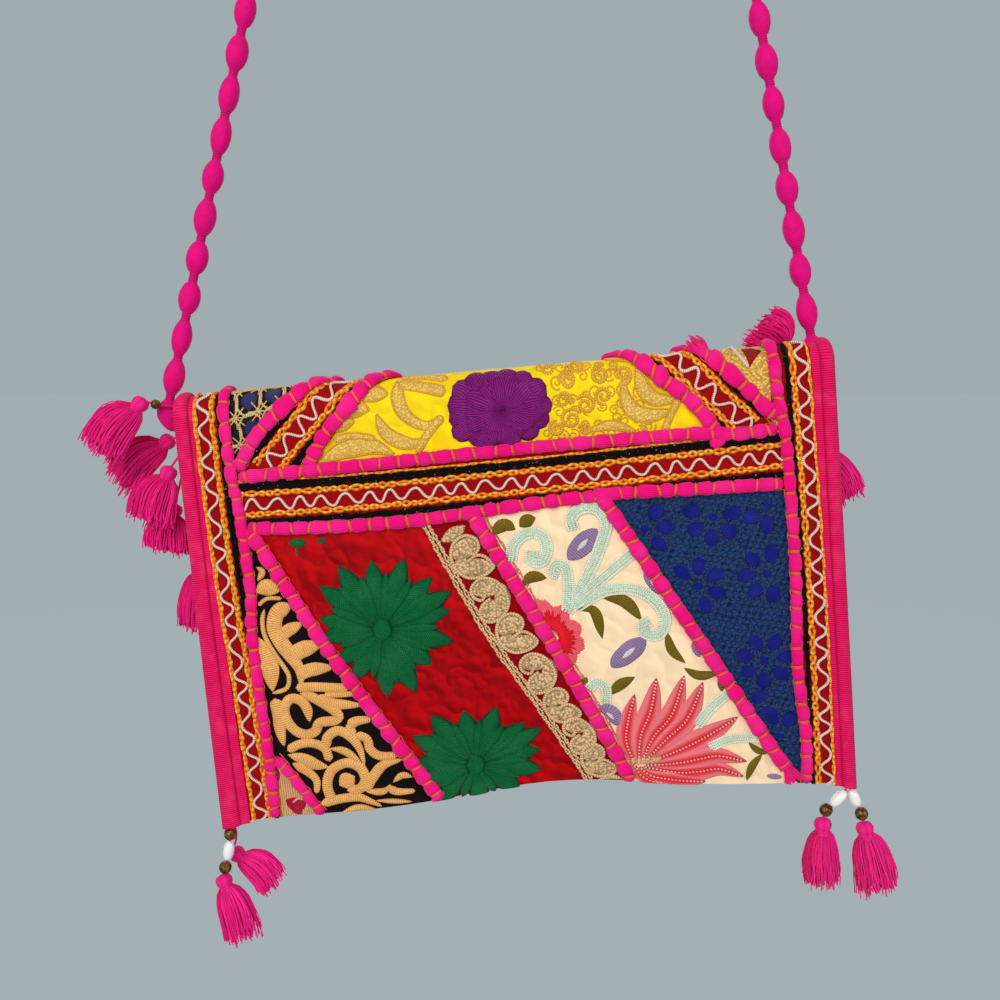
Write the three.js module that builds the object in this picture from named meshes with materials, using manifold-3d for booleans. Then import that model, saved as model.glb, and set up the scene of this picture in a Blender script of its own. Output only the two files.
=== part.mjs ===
// Fold-over clutch bag of patchwork cloth, hanging from a peg by its strap of cloth-covered beads.
// Millimetres, +Z up, front towards -Y. The origin is the underside of the strap where it lies on the peg.
import * as THREE from 'three';
import { mergeVertices } from 'three/addons/utils/BufferGeometryUtils.js';
import Module from 'manifold-3d';

const wasm = await Module();
wasm.setup();

// How the bag hangs
const HANG_DROP = 663;
const HANG_TILT = 4.94;
const STRAP_BEHIND = 9;
const PEG_RADIUS = 12;

// Outline and thickness of the bag
const CLOTH_HALF = 131.6;
const FOLD_TOP = 93;
const FOLD_RADIUS_MIDDLE = 11;
const FOLD_RADIUS_EDGE = 6.5;
const FRONT_TOP = 80;
const FRONT_LENGTH = 170;
const FOLD_LENGTH = 38;
const BACK_SEAM = 76;
const FRONT_BELLY = 4;
const BACK_BELLY = 1.5;
const LOWER_TAPER = 0.25;
const LOWER_EDGE = { height: -86.7, arch: 8.4, centre: 12, spread: 55, droop: 3 };

// Layers of cloth and the gaps between them
const FLAP_THICK = 2;
const POUCH_THICK = 2;
const PATCH_THICK = 1;
const PATCH_LIFT = 0.4;
const GAP = 0.3;
const FLAP_TO_POUCH = 0.6;
const EDGE_CLEAR = 2.4;
const TAPE_REACH = 7;
const TAPE_THICK = 0.9;

// Strap of beads
const BEAD_PITCH = 17;
const BEAD_SIDES = 10;
const BEAD_RADIUS = 4.2;
const NECK_RADIUS = 2;
const BEAD_PROFILE = [
  { at: 0, radius: NECK_RADIUS },
  { at: 0.3, radius: BEAD_RADIUS },
  { at: 0.7, radius: BEAD_RADIUS },
];

// Tassels and small beads
const LOCK_COUNT = 5;
const LOCK_SIDES = 4;
const HEAD_SIDES = 6;
const HEAD_RADIUS = 3.7;
const THREAD_RADIUS = 0.5;
const BORE_RADIUS = 1.2;
const BRASS_BEAD = { radius: 2.7, length: 5.2 };
const SMALL_BEAD = { radius: 2.1, length: 3.8 };
const WHITE_BEAD = { radius: 2.4, length: 8.6 };

// Grid on which the cloth is faceted: x across the bag, v along its unrolled length
const COLUMN_SHARES = [-1, -0.88, -0.68, -0.42, -0.14, 0.14, 0.42, 0.68, 0.88, 1];
const COLUMNS = COLUMN_SHARES.map((share) => share * CLOTH_HALF);
const ROWS = [-90, -67, -44, -21, 2, 25, 48, 66, FRONT_TOP];
const FOLD_STEPS = 7;
for (let k = 1; k <= FOLD_STEPS; k += 1) {
  ROWS.push(FRONT_TOP + (FOLD_LENGTH * k) / FOLD_STEPS);
}
const FLAP_LOW = FRONT_TOP - FRONT_LENGTH;
const FLAP_END = FRONT_TOP + FOLD_LENGTH;
const PATCH_LOW = FLAP_LOW + 0.5;
const PATCH_END = FLAP_END - 0.5;

// Surface of the bag

const limitX = (x) => THREE.MathUtils.clamp(x, -CLOTH_HALF, CLOTH_HALF);
const middleness = (x) => 1 - (limitX(x) / CLOTH_HALF) ** 2;
const foldRadius = (x) => FOLD_RADIUS_EDGE + (FOLD_RADIUS_MIDDLE - FOLD_RADIUS_EDGE) * middleness(x);

function lowerEdge(x) {
  const edge = LOWER_EDGE;
  const arch = edge.arch * Math.exp(-(((limitX(x) - edge.centre) / edge.spread) ** 2));
  return edge.height + arch - edge.droop * (limitX(x) / CLOTH_HALF) ** 10;
}

function depthAt(x, z, belly) {
  const t = THREE.MathUtils.clamp((FRONT_TOP - z) / (FRONT_TOP - lowerEdge(x)), 0, 1);
  const taper = 1 - LOWER_TAPER * t ** 3;
  return foldRadius(x) * taper + belly * middleness(x) * Math.sin(Math.PI * t) ** 2;
}

// A point of the flap's outer face: v is the height on the front, then the length over the fold
function flapFace(x, v) {
  if (v <= FRONT_TOP) {
    const z = FRONT_TOP - ((FRONT_TOP - v) * (FRONT_TOP - lowerEdge(x))) / FRONT_LENGTH;
    return new THREE.Vector3(x, -depthAt(x, z, FRONT_BELLY), z);
  }
  const radius = foldRadius(x);
  const centre = FOLD_TOP - radius;
  const rise = centre - FRONT_TOP;
  const length = rise + Math.PI * radius + centre - BACK_SEAM;
  const along = (length * (v - FRONT_TOP)) / FOLD_LENGTH;
  if (along < rise) {
    return new THREE.Vector3(x, -radius, FRONT_TOP + along);
  }
  const turn = (along - rise) / radius;
  if (turn < Math.PI) {
    return new THREE.Vector3(x, -radius * Math.cos(turn), centre + radius * Math.sin(turn));
  }
  return new THREE.Vector3(x, radius, centre - (along - rise - Math.PI * radius));
}

// The same point lifted off the cloth along its normal
function flapPoint(x, v, lift) {
  const step = 0.4;
  const alongX = flapFace(x + step, v).sub(flapFace(x - step, v));
  const alongV = flapFace(x, v + step).sub(flapFace(x, v - step));
  const normal = alongX.cross(alongV).normalize();
  return flapFace(x, v).addScaledVector(normal, lift);
}

// Closed bodies from points

function closedGeometry(points, triangles) {
  const cross = new THREE.Vector3();
  let volume = 0;
  for (const [a, b, c] of triangles) {
    volume += points[a].dot(cross.crossVectors(points[b], points[c]));
  }
  const outward = volume < 0 ? triangles.map(([a, b, c]) => [a, c, b]) : triangles;
  const geometry = new THREE.BufferGeometry().setFromPoints(points);
  geometry.setIndex(outward.flat());
  return geometry;
}

function capFaces(outline) {
  const contour = outline.map(([a, b]) => new THREE.Vector2(a, b));
  const positive = THREE.ShapeUtils.area(contour) > 0;
  return THREE.ShapeUtils.triangulateShape(contour, []).map((face) => {
    const turns = THREE.ShapeUtils.area(face.map((k) => contour[k])) > 0;
    return turns === positive ? face : [face[0], face[2], face[1]];
  });
}

// Rings of equal count joined into one body; the flat outline of a ring gives the two end caps
function loft(rings, outline) {
  const count = outline.length;
  const last = (rings.length - 1) * count;
  const triangles = [];
  for (let start = 0; start < last; start += count) {
    for (let k = 0; k < count; k += 1) {
      const a = start + k;
      const b = start + ((k + 1) % count);
      triangles.push([a, b, a + count], [b, b + count, a + count]);
    }
  }
  for (const [a, b, c] of capFaces(outline)) {
    triangles.push([a, c, b], [last + a, last + b, last + c]);
  }
  return closedGeometry(rings.flat(), triangles);
}

const polygonOutline = (sides) =>
  Array.from({ length: sides }, (_, k) => {
    const angle = (2 * Math.PI * k) / sides;
    return [Math.cos(angle), Math.sin(angle)];
  });

// A round body along a run of points, with a radius for each point
function roundLoft(points, radii, sides) {
  const outline = polygonOutline(sides);
  const rings = points.map((point, k) => {
    const before = points[Math.max(k - 1, 0)];
    const after = points[Math.min(k + 1, points.length - 1)];
    const along = after.clone().sub(before).normalize();
    const depth = new THREE.Vector3(0, 1, 0).addScaledVector(along, -along.y).normalize();
    const side = depth.clone().cross(along);
    return outline.map(([a, b]) => {
      const offset = depth.clone().multiplyScalar(a).addScaledVector(side, b);
      return point.clone().addScaledVector(offset, radii[k]);
    });
  });
  return loft(rings, outline);
}

// Sheets of cloth on the bag's surface

function clip(corners, axis, limit, sign) {
  const kept = [];
  corners.forEach((corner, k) => {
    const next = corners[(k + 1) % corners.length];
    const here = sign * (corner[axis] - limit);
    const there = sign * (next[axis] - limit);
    if (here >= 0) {
      kept.push(corner);
    }
    if (here * there < 0) {
      const share = here / (here - there);
      kept.push(corner.map((value, i) => value + share * (next[i] - value)));
    }
  });
  return kept;
}

function inset(corners, margin) {
  const lines = corners.map((corner, k) => {
    const next = corners[(k + 1) % corners.length];
    const length = Math.hypot(next[0] - corner[0], next[1] - corner[1]);
    const normal = [-(next[1] - corner[1]) / length, (next[0] - corner[0]) / length];
    return [...normal, normal[0] * corner[0] + normal[1] * corner[1] + margin];
  });
  return lines.map(([a, b, c], k) => {
    const [d, e, f] = lines[(k + lines.length - 1) % lines.length];
    const scale = a * e - b * d;
    return [(c * e - b * f) / scale, (a * f - c * d) / scale];
  });
}

// Corners (x, v) run anticlockwise; the sheet lies between two lifts off the flap's outer face
function sheet(corners, low, high) {
  const plan = [];
  const places = new Map();
  const place = (corner) => {
    const key = corner.map((value) => value.toFixed(2)).join();
    if (!places.has(key)) {
      places.set(key, plan.length);
      plan.push(corner);
    }
    return places.get(key);
  };
  const faces = [];
  for (let i = 0; i + 1 < COLUMNS.length; i += 1) {
    const strip = clip(clip(corners, 0, COLUMNS[i], 1), 0, COLUMNS[i + 1], -1);
    for (let j = 0; j + 1 < ROWS.length; j += 1) {
      const cell = clip(clip(strip, 1, ROWS[j], 1), 1, ROWS[j + 1], -1).map(place);
      const loop = cell.filter((index, k) => index !== cell[(k + 1) % cell.length]);
      for (let k = 1; k + 1 < loop.length; k += 1) {
        faces.push([loop[0], loop[k], loop[k + 1]]);
      }
    }
  }
  const count = plan.length;
  const edges = new Set(faces.flatMap(([a, b, c]) => [`${a},${b}`, `${b},${c}`, `${c},${a}`]));
  const triangles = faces.flatMap(([a, b, c]) => [[a, b, c], [a + count, c + count, b + count]]);
  for (const edge of edges) {
    const [a, b] = edge.split(',').map(Number);
    if (!edges.has(`${b},${a}`)) {
      triangles.push([a, a + count, b], [b, a + count, b + count]);
    }
  }
  const points = [high, low].flatMap((lift) => plan.map(([x, v]) => flapPoint(x, v, lift)));
  return closedGeometry(points, triangles);
}

const patch = (corners) => sheet(inset(corners, GAP), PATCH_LIFT, PATCH_LIFT + PATCH_THICK);

// Couched yarn: a flat-bottomed bundle laid along a line (x, v) on the patches
const FOLD_CLEAR = 0.6;
const CORD_OUTLINE = [[-2, 2.1], [2, 2.1], [3.3, 3.6], [0, 5.4], [-3.3, 3.6]];

function cord(line) {
  const stops = [line[0]];
  for (let k = 0; k + 1 < line.length; k += 1) {
    const [from, to] = [line[k], line[k + 1]];
    const shares = [1];
    [COLUMNS, ROWS].forEach((marks, axis) => {
      for (const mark of marks) {
        shares.push((mark - from[axis]) / (to[axis] - from[axis]));
      }
    });
    const inside = shares.filter((share) => share > 0.02 && share < 0.98).concat(1).sort((p, q) => p - q);
    for (const share of inside) {
      const stop = from.map((value, i) => value + share * (to[i] - value));
      const last = stops[stops.length - 1];
      if (Math.hypot(stop[0] - last[0], stop[1] - last[1]) > 1.2) {
        stops.push(stop);
      }
    }
  }
  const rings = stops.map(([x, v], k) => {
    const before = stops[Math.max(k - 1, 0)];
    const after = stops[Math.min(k + 1, stops.length - 1)];
    const length = Math.hypot(after[0] - before[0], after[1] - before[1]);
    const side = [(after[1] - before[1]) / length, -(after[0] - before[0]) / length];
    const clear = FOLD_CLEAR * THREE.MathUtils.smoothstep(v, FRONT_TOP - 4, FRONT_TOP + 4);
    return CORD_OUTLINE.map(([across, lift]) => {
      return flapPoint(x + across * side[0], v + across * side[1], lift + clear);
    });
  });
  return loft(rings, CORD_OUTLINE);
}

// Pouch: front and back walls that meet at the side seams and the bottom, open at the top

const POUCH_ROWS = [
  { share: 0, swell: 0.5 },
  { share: 0.015, swell: 0.85 },
  { share: 0.05, swell: 1 },
  { share: 0.2, swell: 1 },
  { share: 0.4, swell: 1 },
  { share: 0.6, swell: 1 },
  { share: 0.8, swell: 1 },
  { share: 1, swell: 1 },
];
const POUCH_BOTTOM_RISE = 1.5;
const POUCH_FLOOR = 3;
const SEAM_WIDTH = 6;

function pouchPoint(x, row, side, thick) {
  const floor = lowerEdge(x) + POUCH_BOTTOM_RISE + (thick > 0 ? POUCH_FLOOR : 0);
  const z = THREE.MathUtils.lerp(floor, BACK_SEAM - GAP, row.share);
  const edge = THREE.MathUtils.smoothstep(Math.abs(x), 95, 123) * EDGE_CLEAR;
  const front = -depthAt(x, z, FRONT_BELLY) + FLAP_THICK + FLAP_TO_POUCH + edge + thick;
  const back = depthAt(x, z, BACK_BELLY) - thick;
  const half = ((back - front) / 2) * row.swell;
  return new THREE.Vector3(x, (front + back) / 2 + side * half, z);
}

function pouch() {
  const reach = CLOTH_HALF - SEAM_WIDTH;
  const inner = COLUMNS.map((x) => THREE.MathUtils.clamp(x, -reach, reach));
  const skins = [{ xs: COLUMNS, thick: 0 }, { xs: inner, thick: POUCH_THICK }];
  const count = 2 * COLUMNS.length;
  const points = [];
  const triangles = [];
  skins.forEach(({ xs, thick }) => {
    const start = points.length;
    const quad = (a, b, c, d) => {
      const faces = [[a, b, c], [a, c, d]];
      triangles.push(...(thick > 0 ? faces.map(([p, q, r]) => [p, r, q]) : faces));
    };
    for (const row of POUCH_ROWS) {
      points.push(...xs.map((x) => pouchPoint(x, row, -1, thick)));
      points.push(...[...xs].reverse().map((x) => pouchPoint(x, row, 1, thick)));
    }
    for (let j = 0; j + 1 < POUCH_ROWS.length; j += 1) {
      for (let k = 0; k < count; k += 1) {
        const low = start + j * count;
        const next = (k + 1) % count;
        quad(low + k, low + next, low + count + next, low + count + k);
      }
    }
    for (let k = 0; k + 1 < xs.length; k += 1) {
      quad(start + k + 1, start + k, start + count - 1 - k, start + count - 2 - k);
    }
  });
  const rim = (POUCH_ROWS.length - 1) * count;
  const innerRim = rim + POUCH_ROWS.length * count;
  for (let k = 0; k < count; k += 1) {
    const next = (k + 1) % count;
    triangles.push([rim + k, rim + next, innerRim + next], [rim + k, innerRim + next, innerRim + k]);
  }
  return closedGeometry(points, triangles);
}

// Bindings: ribbed tape folded round the cut edges, with a rounded roll outside

const FLAP_TAPE = [
  [-TAPE_REACH, GAP + TAPE_THICK], [-4, 1.5], [-3, 2.4], [0, 2.8], [2.6, 1.3],
  [3.4, -0.8], [1.8, -3.1], [-TAPE_REACH, -3.1],
  [-TAPE_REACH, -FLAP_THICK - GAP], [GAP, -FLAP_THICK - GAP], [GAP, GAP], [-TAPE_REACH, GAP],
];

function flapBinding(side) {
  const stops = [FLAP_LOW - 0.6, ...ROWS.slice(1, -1), FLAP_END];
  const ring = (v) => FLAP_TAPE.map(([out, lift]) => flapPoint(side * (CLOTH_HALF + out), v, lift));
  const rings = stops.map(ring);
  return loft(rings, FLAP_TAPE);
}

function pouchBinding(side) {
  const rings = POUCH_ROWS.slice(1).map((row) => {
    const face = (out, wall, lift) => {
      const point = pouchPoint(side * (CLOTH_HALF + Math.min(out, 0)), row, wall, 0);
      return new THREE.Vector3(side * (CLOTH_HALF + out), point.y + wall * lift, point.z);
    };
    const outer = GAP + TAPE_THICK;
    const middle = (out, share) => face(out, -1, 0).lerp(face(out, 1, 0), share);
    return [
      face(-TAPE_REACH, -1, outer), face(0, -1, outer), middle(2.2, 0.1), middle(3, 0.5), middle(2.2, 0.9),
      face(0, 1, outer), face(-TAPE_REACH, 1, outer), face(-TAPE_REACH, 1, GAP), face(GAP, 1, GAP),
      face(GAP, -1, GAP), face(-TAPE_REACH, -1, GAP),
    ];
  });
  return loft(rings, rings[3].map((point) => [point.x, point.y]));
}

// Strap: a string of beads over the peg, from one top corner of the bag to the other

const STRAP_LEFT = [[-136.7, 6.2, 80.8], [-139.6, 7.4, 83.4], [-142.2, 8.4, 88.5]];
const STRAP_RIGHT = [[131.4, 12.6, 82], [131.2, 13.2, 87], [131, 14, 93]];

function strap(bag) {
  const toModel = (p) => bag.localToWorld(new THREE.Vector3(...p));
  const centre = new THREE.Vector3(0, 0, -PEG_RADIUS);
  const radius = PEG_RADIUS + BEAD_RADIUS;
  const left = STRAP_LEFT.map(toModel);
  const right = STRAP_RIGHT.map(toModel);
  const leave = (point, side) => {
    const away = Math.hypot(point.x - centre.x, point.z - centre.z);
    const bearing = Math.atan2(point.z - centre.z, point.x - centre.x);
    return bearing - side * Math.acos(radius / away);
  };
  const from = leave(left[2], 1) + 2 * Math.PI;
  const to = leave(right[2], -1);
  const path = new THREE.CurvePath();
  const run = [...left];
  const arcSteps = 14;
  for (let k = 0; k <= arcSteps; k += 1) {
    const angle = from + ((to - from) * k) / arcSteps;
    run.push(new THREE.Vector3(radius * Math.cos(angle), 0, centre.z + radius * Math.sin(angle)));
  }
  run.push(...right.reverse());
  for (let k = 0; k + 1 < run.length; k += 1) {
    path.add(new THREE.LineCurve3(run[k], run[k + 1]));
  }
  const length = path.getLength();
  const beads = Math.round(length / BEAD_PITCH);
  const points = [];
  const radii = [];
  for (let k = 0; k < beads; k += 1) {
    for (const station of BEAD_PROFILE) {
      points.push(path.getPointAt((k + station.at) / beads));
      radii.push(station.radius);
    }
  }
  points.push(run[run.length - 1]);
  radii.push(NECK_RADIUS);
  return roundLoft(points, radii, BEAD_SIDES);
}

// Tassels: a tied head, locks of yarn below it and a thread above it, fused into one body

function mergedPoints(geometry) {
  const bare = geometry.clone();
  bare.deleteAttribute('normal');
  bare.deleteAttribute('uv');
  return mergeVertices(bare, 1e-4);
}

// A lathed form with its doubled points joined and its faces pointing out
function closedLathe(profile, sides, axis, centre) {
  const lathe = new THREE.LatheGeometry(profile.map(([r, y]) => new THREE.Vector2(r, y)), sides);
  const upright = new THREE.Vector3(0, 1, 0);
  lathe.applyQuaternion(new THREE.Quaternion().setFromUnitVectors(upright, axis.clone().normalize()));
  lathe.translate(...centre);
  const merged = mergedPoints(lathe);
  const position = merged.attributes.position;
  const points = [];
  for (let k = 0; k < position.count; k += 1) {
    points.push(new THREE.Vector3().fromBufferAttribute(position, k));
  }
  const triangles = [];
  for (let k = 0; k < merged.index.count; k += 3) {
    const face = [0, 1, 2].map((i) => merged.index.getX(k + i));
    if (new Set(face).size === 3) {
      triangles.push(face);
    }
  }
  return closedGeometry(points, triangles);
}

function toSolid(geometry) {
  const merged = mergedPoints(geometry);
  const vertProperties = new Float32Array(merged.attributes.position.array);
  const triVerts = new Uint32Array(merged.index.array);
  return new wasm.Manifold(new wasm.Mesh({ numProp: 3, vertProperties, triVerts }));
}

function fromSolid(solid) {
  const mesh = solid.getMesh();
  const geometry = new THREE.BufferGeometry();
  geometry.setAttribute('position', new THREE.BufferAttribute(new Float32Array(mesh.vertProperties), 3));
  geometry.setIndex([...mesh.triVerts]);
  return geometry;
}

const HEAD_PROFILE = [[0, 3.2], [2.8, 2.2], [HEAD_RADIUS, 0], [2.8, -3.6], [0, -4.2]];

function tassel({ head, tip, spread, thread }) {
  const top = new THREE.Vector3(...head);
  const fall = new THREE.Vector3(...tip).sub(top);
  const length = fall.length();
  const along = fall.clone().normalize();
  const side = new THREE.Vector3(0, 1, 0).cross(along).normalize();
  const depth = along.clone().cross(side);
  let solid = toSolid(closedLathe(HEAD_PROFILE, HEAD_SIDES, along.clone().negate(), head));
  for (let k = 0; k < LOCK_COUNT; k += 1) {
    const angle = (2 * Math.PI * (k + 0.25)) / LOCK_COUNT;
    const out = side.clone().multiplyScalar(Math.cos(angle)).addScaledVector(depth, 0.6 * Math.sin(angle));
    const reach = length * (0.94 + 0.06 * Math.cos(3 * k + 1));
    const stations = [
      { at: 2.5, out: 0.9, radius: 1.7 },
      { at: 0.45 * length, out: 0.75 * spread, radius: 2.5 },
      { at: reach, out: spread, radius: 1.6 },
    ];
    const points = stations.map((s) => {
      return top.clone().addScaledVector(along, s.at).addScaledVector(out, s.out);
    });
    const lock = roundLoft(points, stations.map((s) => s.radius), LOCK_SIDES);
    solid = solid.add(toSolid(lock));
  }
  const start = top.clone().addScaledVector(along, -2.2);
  const line = [start, ...thread.map((p) => new THREE.Vector3(...p))];
  solid = solid.add(toSolid(roundLoft(line, line.map(() => THREAD_RADIUS), 4)));
  return fromSolid(solid);
}

function bead({ radius, length }, centre, axis) {
  const half = length / 2;
  const profile = [
    [BORE_RADIUS, -half], [0.88 * radius, -0.6 * half], [radius, 0],
    [0.88 * radius, 0.6 * half], [BORE_RADIUS, half], [BORE_RADIUS, -half],
  ];
  return closedLathe(profile, BEAD_SIDES, new THREE.Vector3(...axis), centre);
}

// Seams of the patchwork, as lines across (x) and along (v)

const leftSeam = (v) => [-110 - 0.00966 * (v - PATCH_LOW), v];
const rightSeam = (v) => [113.6 - 0.0198 * (v - PATCH_LOW), v];
const upperSeam = (x) => [x, 60.8 + 0.0054 * x];
const lowerSeam = (x) => [x, 37.6 + 0.0108 * x];
const atTop = (x) => [x, PATCH_END];
const atBottom = (x) => [x, PATCH_LOW];
const TRIM_OUT = CLOTH_HALF - TAPE_REACH - 0.1;

const SEAMS = {
  netTrim: [upperSeam(-111.4), atTop(-49)],
  trimYellow: [upperSeam(-79.5), atTop(-28)],
  yellowTrim: [upperSeam(86.5), atTop(30)],
  trimGold: [upperSeam(110.6), atTop(58)],
  scrollRed: [lowerSeam(-106.8), atBottom(-38)],
  redPaisley: [lowerSeam(-36.3), atBottom(25.8)],
  paisleyCream: [lowerSeam(-15.1), atBottom(41.7)],
  creamBlue: [lowerSeam(37.7), atBottom(110)],
  scrollCorner: [leftSeam(-57.5), atBottom(-89.2)],
};
const between = (left, right) => [left[0], right[0], right[1], left[1]];
const below = (left, right) => [left[0], left[1], right[1], right[0]];

const PATCHES = [
  { name: 'patch_net', colour: 0x19285a, corners: [...SEAMS.netTrim, leftSeam(PATCH_END)] },
  { name: 'trim_top_left', colour: 0x8c0a0a, corners: between(SEAMS.netTrim, SEAMS.trimYellow) },
  { name: 'patch_yellow', colour: 0xffd714, corners: between(SEAMS.trimYellow, SEAMS.yellowTrim) },
  { name: 'trim_top_right', colour: 0x8c0a0a, corners: between(SEAMS.yellowTrim, SEAMS.trimGold) },
  {
    name: 'patch_gold',
    colour: 0xb4783c,
    corners: [SEAMS.trimGold[0], rightSeam(PATCH_END), SEAMS.trimGold[1]],
  },
  {
    name: 'trim_band',
    colour: 0x8c0a0a,
    corners: [lowerSeam(-111.2), lowerSeam(111.1), upperSeam(110.6), upperSeam(-111.4)],
  },
  {
    name: 'patch_scroll',
    colour: 0x140c0a,
    corners: [lowerSeam(-111.2), ...SEAMS.scrollCorner, SEAMS.scrollRed[1], SEAMS.scrollRed[0]],
  },
  {
    name: 'patch_corner',
    colour: 0xb43c46,
    corners: [SEAMS.scrollCorner[0], atBottom(-110), SEAMS.scrollCorner[1]],
  },
  { name: 'patch_red', colour: 0xb4050a, corners: below(SEAMS.scrollRed, SEAMS.redPaisley) },
  { name: 'trim_paisley', colour: 0xc08a50, corners: below(SEAMS.redPaisley, SEAMS.paisleyCream) },
  { name: 'patch_cream', colour: 0xf5d7aa, corners: below(SEAMS.paisleyCream, SEAMS.creamBlue) },
  {
    name: 'patch_blue',
    colour: 0x141e78,
    corners: [...SEAMS.creamBlue, atBottom(113.6), lowerSeam(111.1)],
  },
  {
    name: 'trim_left',
    colour: 0x8c0a0a,
    corners: [atBottom(-TRIM_OUT), atBottom(-110), leftSeam(PATCH_END), atTop(-TRIM_OUT)],
  },
  {
    name: 'trim_right',
    colour: 0x8c0a0a,
    corners: [atBottom(113.6), atBottom(TRIM_OUT), atTop(TRIM_OUT), rightSeam(PATCH_END)],
  },
];

// Couched cords over the seams, each a line of stops (x, v)
const CORD_LOW = FLAP_LOW + 0.4;
const CORD_END = FLAP_END - 1.5;
const CORDS = {
  cord_left: [
    [-110, CORD_LOW], [-109.6, -60], [-110.4, -10], [-108.8, 12],
    [-110.2, 45], [-112.2, 66], [-112.2, CORD_END],
  ],
  cord_right: [
    [113.6, CORD_LOW], [114.2, -68], [112.2, -38], [113.4, 5],
    [112.9, 55], [110.5, 77], [109, CORD_END],
  ],
  cord_upper: [[-107.4, 59.2], [-60, 59.8], [25, 60.8], [78, 61.4], [92, 60], [108.4, 60.6]],
  cord_lower: [[-105.6, 37.4], [-85, 36], [-40, 34.6], [-10, 35.5], [30, 37.6], [50, 38.7], [109.1, 38.4]],
  cord_top_1: [[-105.6, 67.6], [-96.7, 78.7], [-78.3, 92.1], [-50, CORD_END]],
  cord_top_2: [[-76.9, 65.4], [-69.5, 76.2], [-53.3, 90.7], [-29, CORD_END]],
  cord_top_3: [[82.3, 67.2], [74.3, 77.2], [58, 90.5], [31, CORD_END]],
  cord_top_4: [[104.8, 70.6], [96.3, 80.4], [84.1, 91.5], [59, CORD_END]],
  cord_scroll: [[-102.7, 29.2], [-80, -13.5], [-60, -49.7], [-38.2, CORD_LOW]],
  cord_paisley: [[-12, 29.6], [0.5, 3.3], [21.1, -42.2], [41.6, CORD_LOW]],
  cord_cream: [[40.8, 32.2], [55, 6.8], [82, -40.8], [98.7, -71.1], [106.3, -83.4]],
  cord_corner: [[-102.9, -67.6], [-98.3, -74.6], [-89.3, CORD_LOW]],
};

// Tassels: middle of the head, end of the skirt, its half width and the thread's way to the bag
const TASSELS = {
  tassel_upper_left_1: {
    head: [-150, -1, 93],
    tip: [-170, -2, 74.5],
    spread: 10,
    thread: [[-144.2, 1.1, 92.4], [-136.2, 5, 90.4]],
  },
  tassel_upper_left_2: {
    head: [-146.4, 16, 76],
    tip: [-170, 15, 60],
    spread: 9.5,
    thread: [[-136, 6.4, 77.6]],
  },
  tassel_upper_left_3: {
    head: [-142.5, 2, 63.2],
    tip: [-153.2, 1, 43.3],
    spread: 10.5,
    thread: [[-135.8, 2.5, 71.6]],
  },
  tassel_upper_left_4: {
    head: [-146.3, 14, 46],
    tip: [-151.8, 13, 28.5],
    spread: 10.5,
    thread: [[-135.5, 3.5, 67]],
  },
  tassel_upper_left_5: {
    head: [-138.5, 15, 19.7],
    tip: [-144.4, 14, -6.5],
    spread: 7,
    thread: [[-129, 8.7, 60]],
  },
  tassel_upper_right_1: {
    head: [121.5, 18.5, 91],
    tip: [109.5, 17, 103.6],
    spread: 10.5,
    thread: [[127, 9.4, 80]],
  },
  tassel_upper_right_2: {
    head: [124, 22, 81],
    tip: [129, 20, 62],
    spread: 6,
    thread: [[122, 15, 86], [125.5, 9.4, 72]],
  },
  tassel_upper_right_3: {
    head: [133, 14, 50],
    tip: [143.5, 13, 28.5],
    spread: 6.5,
    thread: [[130, 8.6, 66]],
  },
  tassel_lower_left_1: {
    head: [-136.6, -5, -114.6],
    tip: [-130.5, -6, -140],
    spread: 8.5,
    thread: [[-135.4, -5, -108.4], [-133.1, -5, -101], [-131.5, -5, -93.6], [-131, -5, -90.6]],
  },
  tassel_lower_left_2: {
    head: [-132.6, 4, -106.6],
    tip: [-117.4, 3, -121],
    spread: 8,
    thread: [[-131, 1, -97], [-130, -2.6, -90.6]],
  },
  tassel_lower_right_1: {
    head: [119.6, -6.2, -105.4],
    tip: [117, -7, -131],
    spread: 7.5,
    thread: [[121.3, -6.2, -99.2], [126.6, -6.2, -94.5], [130.2, -6.2, -90.6]],
  },
  tassel_lower_right_2: {
    head: [137.6, -2.8, -109.8],
    tip: [141.5, -3.5, -137],
    spread: 9,
    thread: [[136.6, -2.8, -103.2], [133.9, -2.8, -96], [131.8, -2.8, -90.6]],
  },
};

// Small beads threaded above the tassels
const BEADS = {
  bead_brass_1: { form: BRASS_BEAD, centre: [-131.5, -5, -93.6], axis: [0.2, 0, 1] },
  bead_white_1: { form: WHITE_BEAD, centre: [-133.1, -5, -101], axis: [0.25, 0, 1] },
  bead_brass_2: { form: BRASS_BEAD, centre: [-135.4, -5, -108.4], axis: [0.28, 0, 1] },
  bead_white_2: { form: WHITE_BEAD, centre: [126.6, -6.2, -94.5], axis: [0.75, 0, 0.67] },
  bead_brass_3: { form: BRASS_BEAD, centre: [121.3, -6.2, -99.2], axis: [0.55, 0, 0.83] },
  bead_white_3: { form: WHITE_BEAD, centre: [133.9, -2.8, -96], axis: [-0.37, 0, 0.93] },
  bead_brass_4: { form: BRASS_BEAD, centre: [136.6, -2.8, -103.2], axis: [-0.25, 0, 0.97] },
  bead_brass_5: { form: SMALL_BEAD, centre: [-144.2, 1.1, 92.4], axis: [-0.86, -0.44, 0.27] },
};

// Assembly

function piece(parent, name, geometry, colour, roughness, metalness = 0) {
  geometry.computeVertexNormals();
  const material = new THREE.MeshStandardMaterial({ color: colour, roughness, metalness });
  const mesh = new THREE.Mesh(geometry, material);
  mesh.name = name;
  parent.add(mesh);
}

const PINK_YARN = 0xff0f82;
const PINK_TAPE = 0xfa1964;
const PINK_CLOTH = 0xeb007d;
const BACK_CLOTH = 0xc81464;

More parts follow.
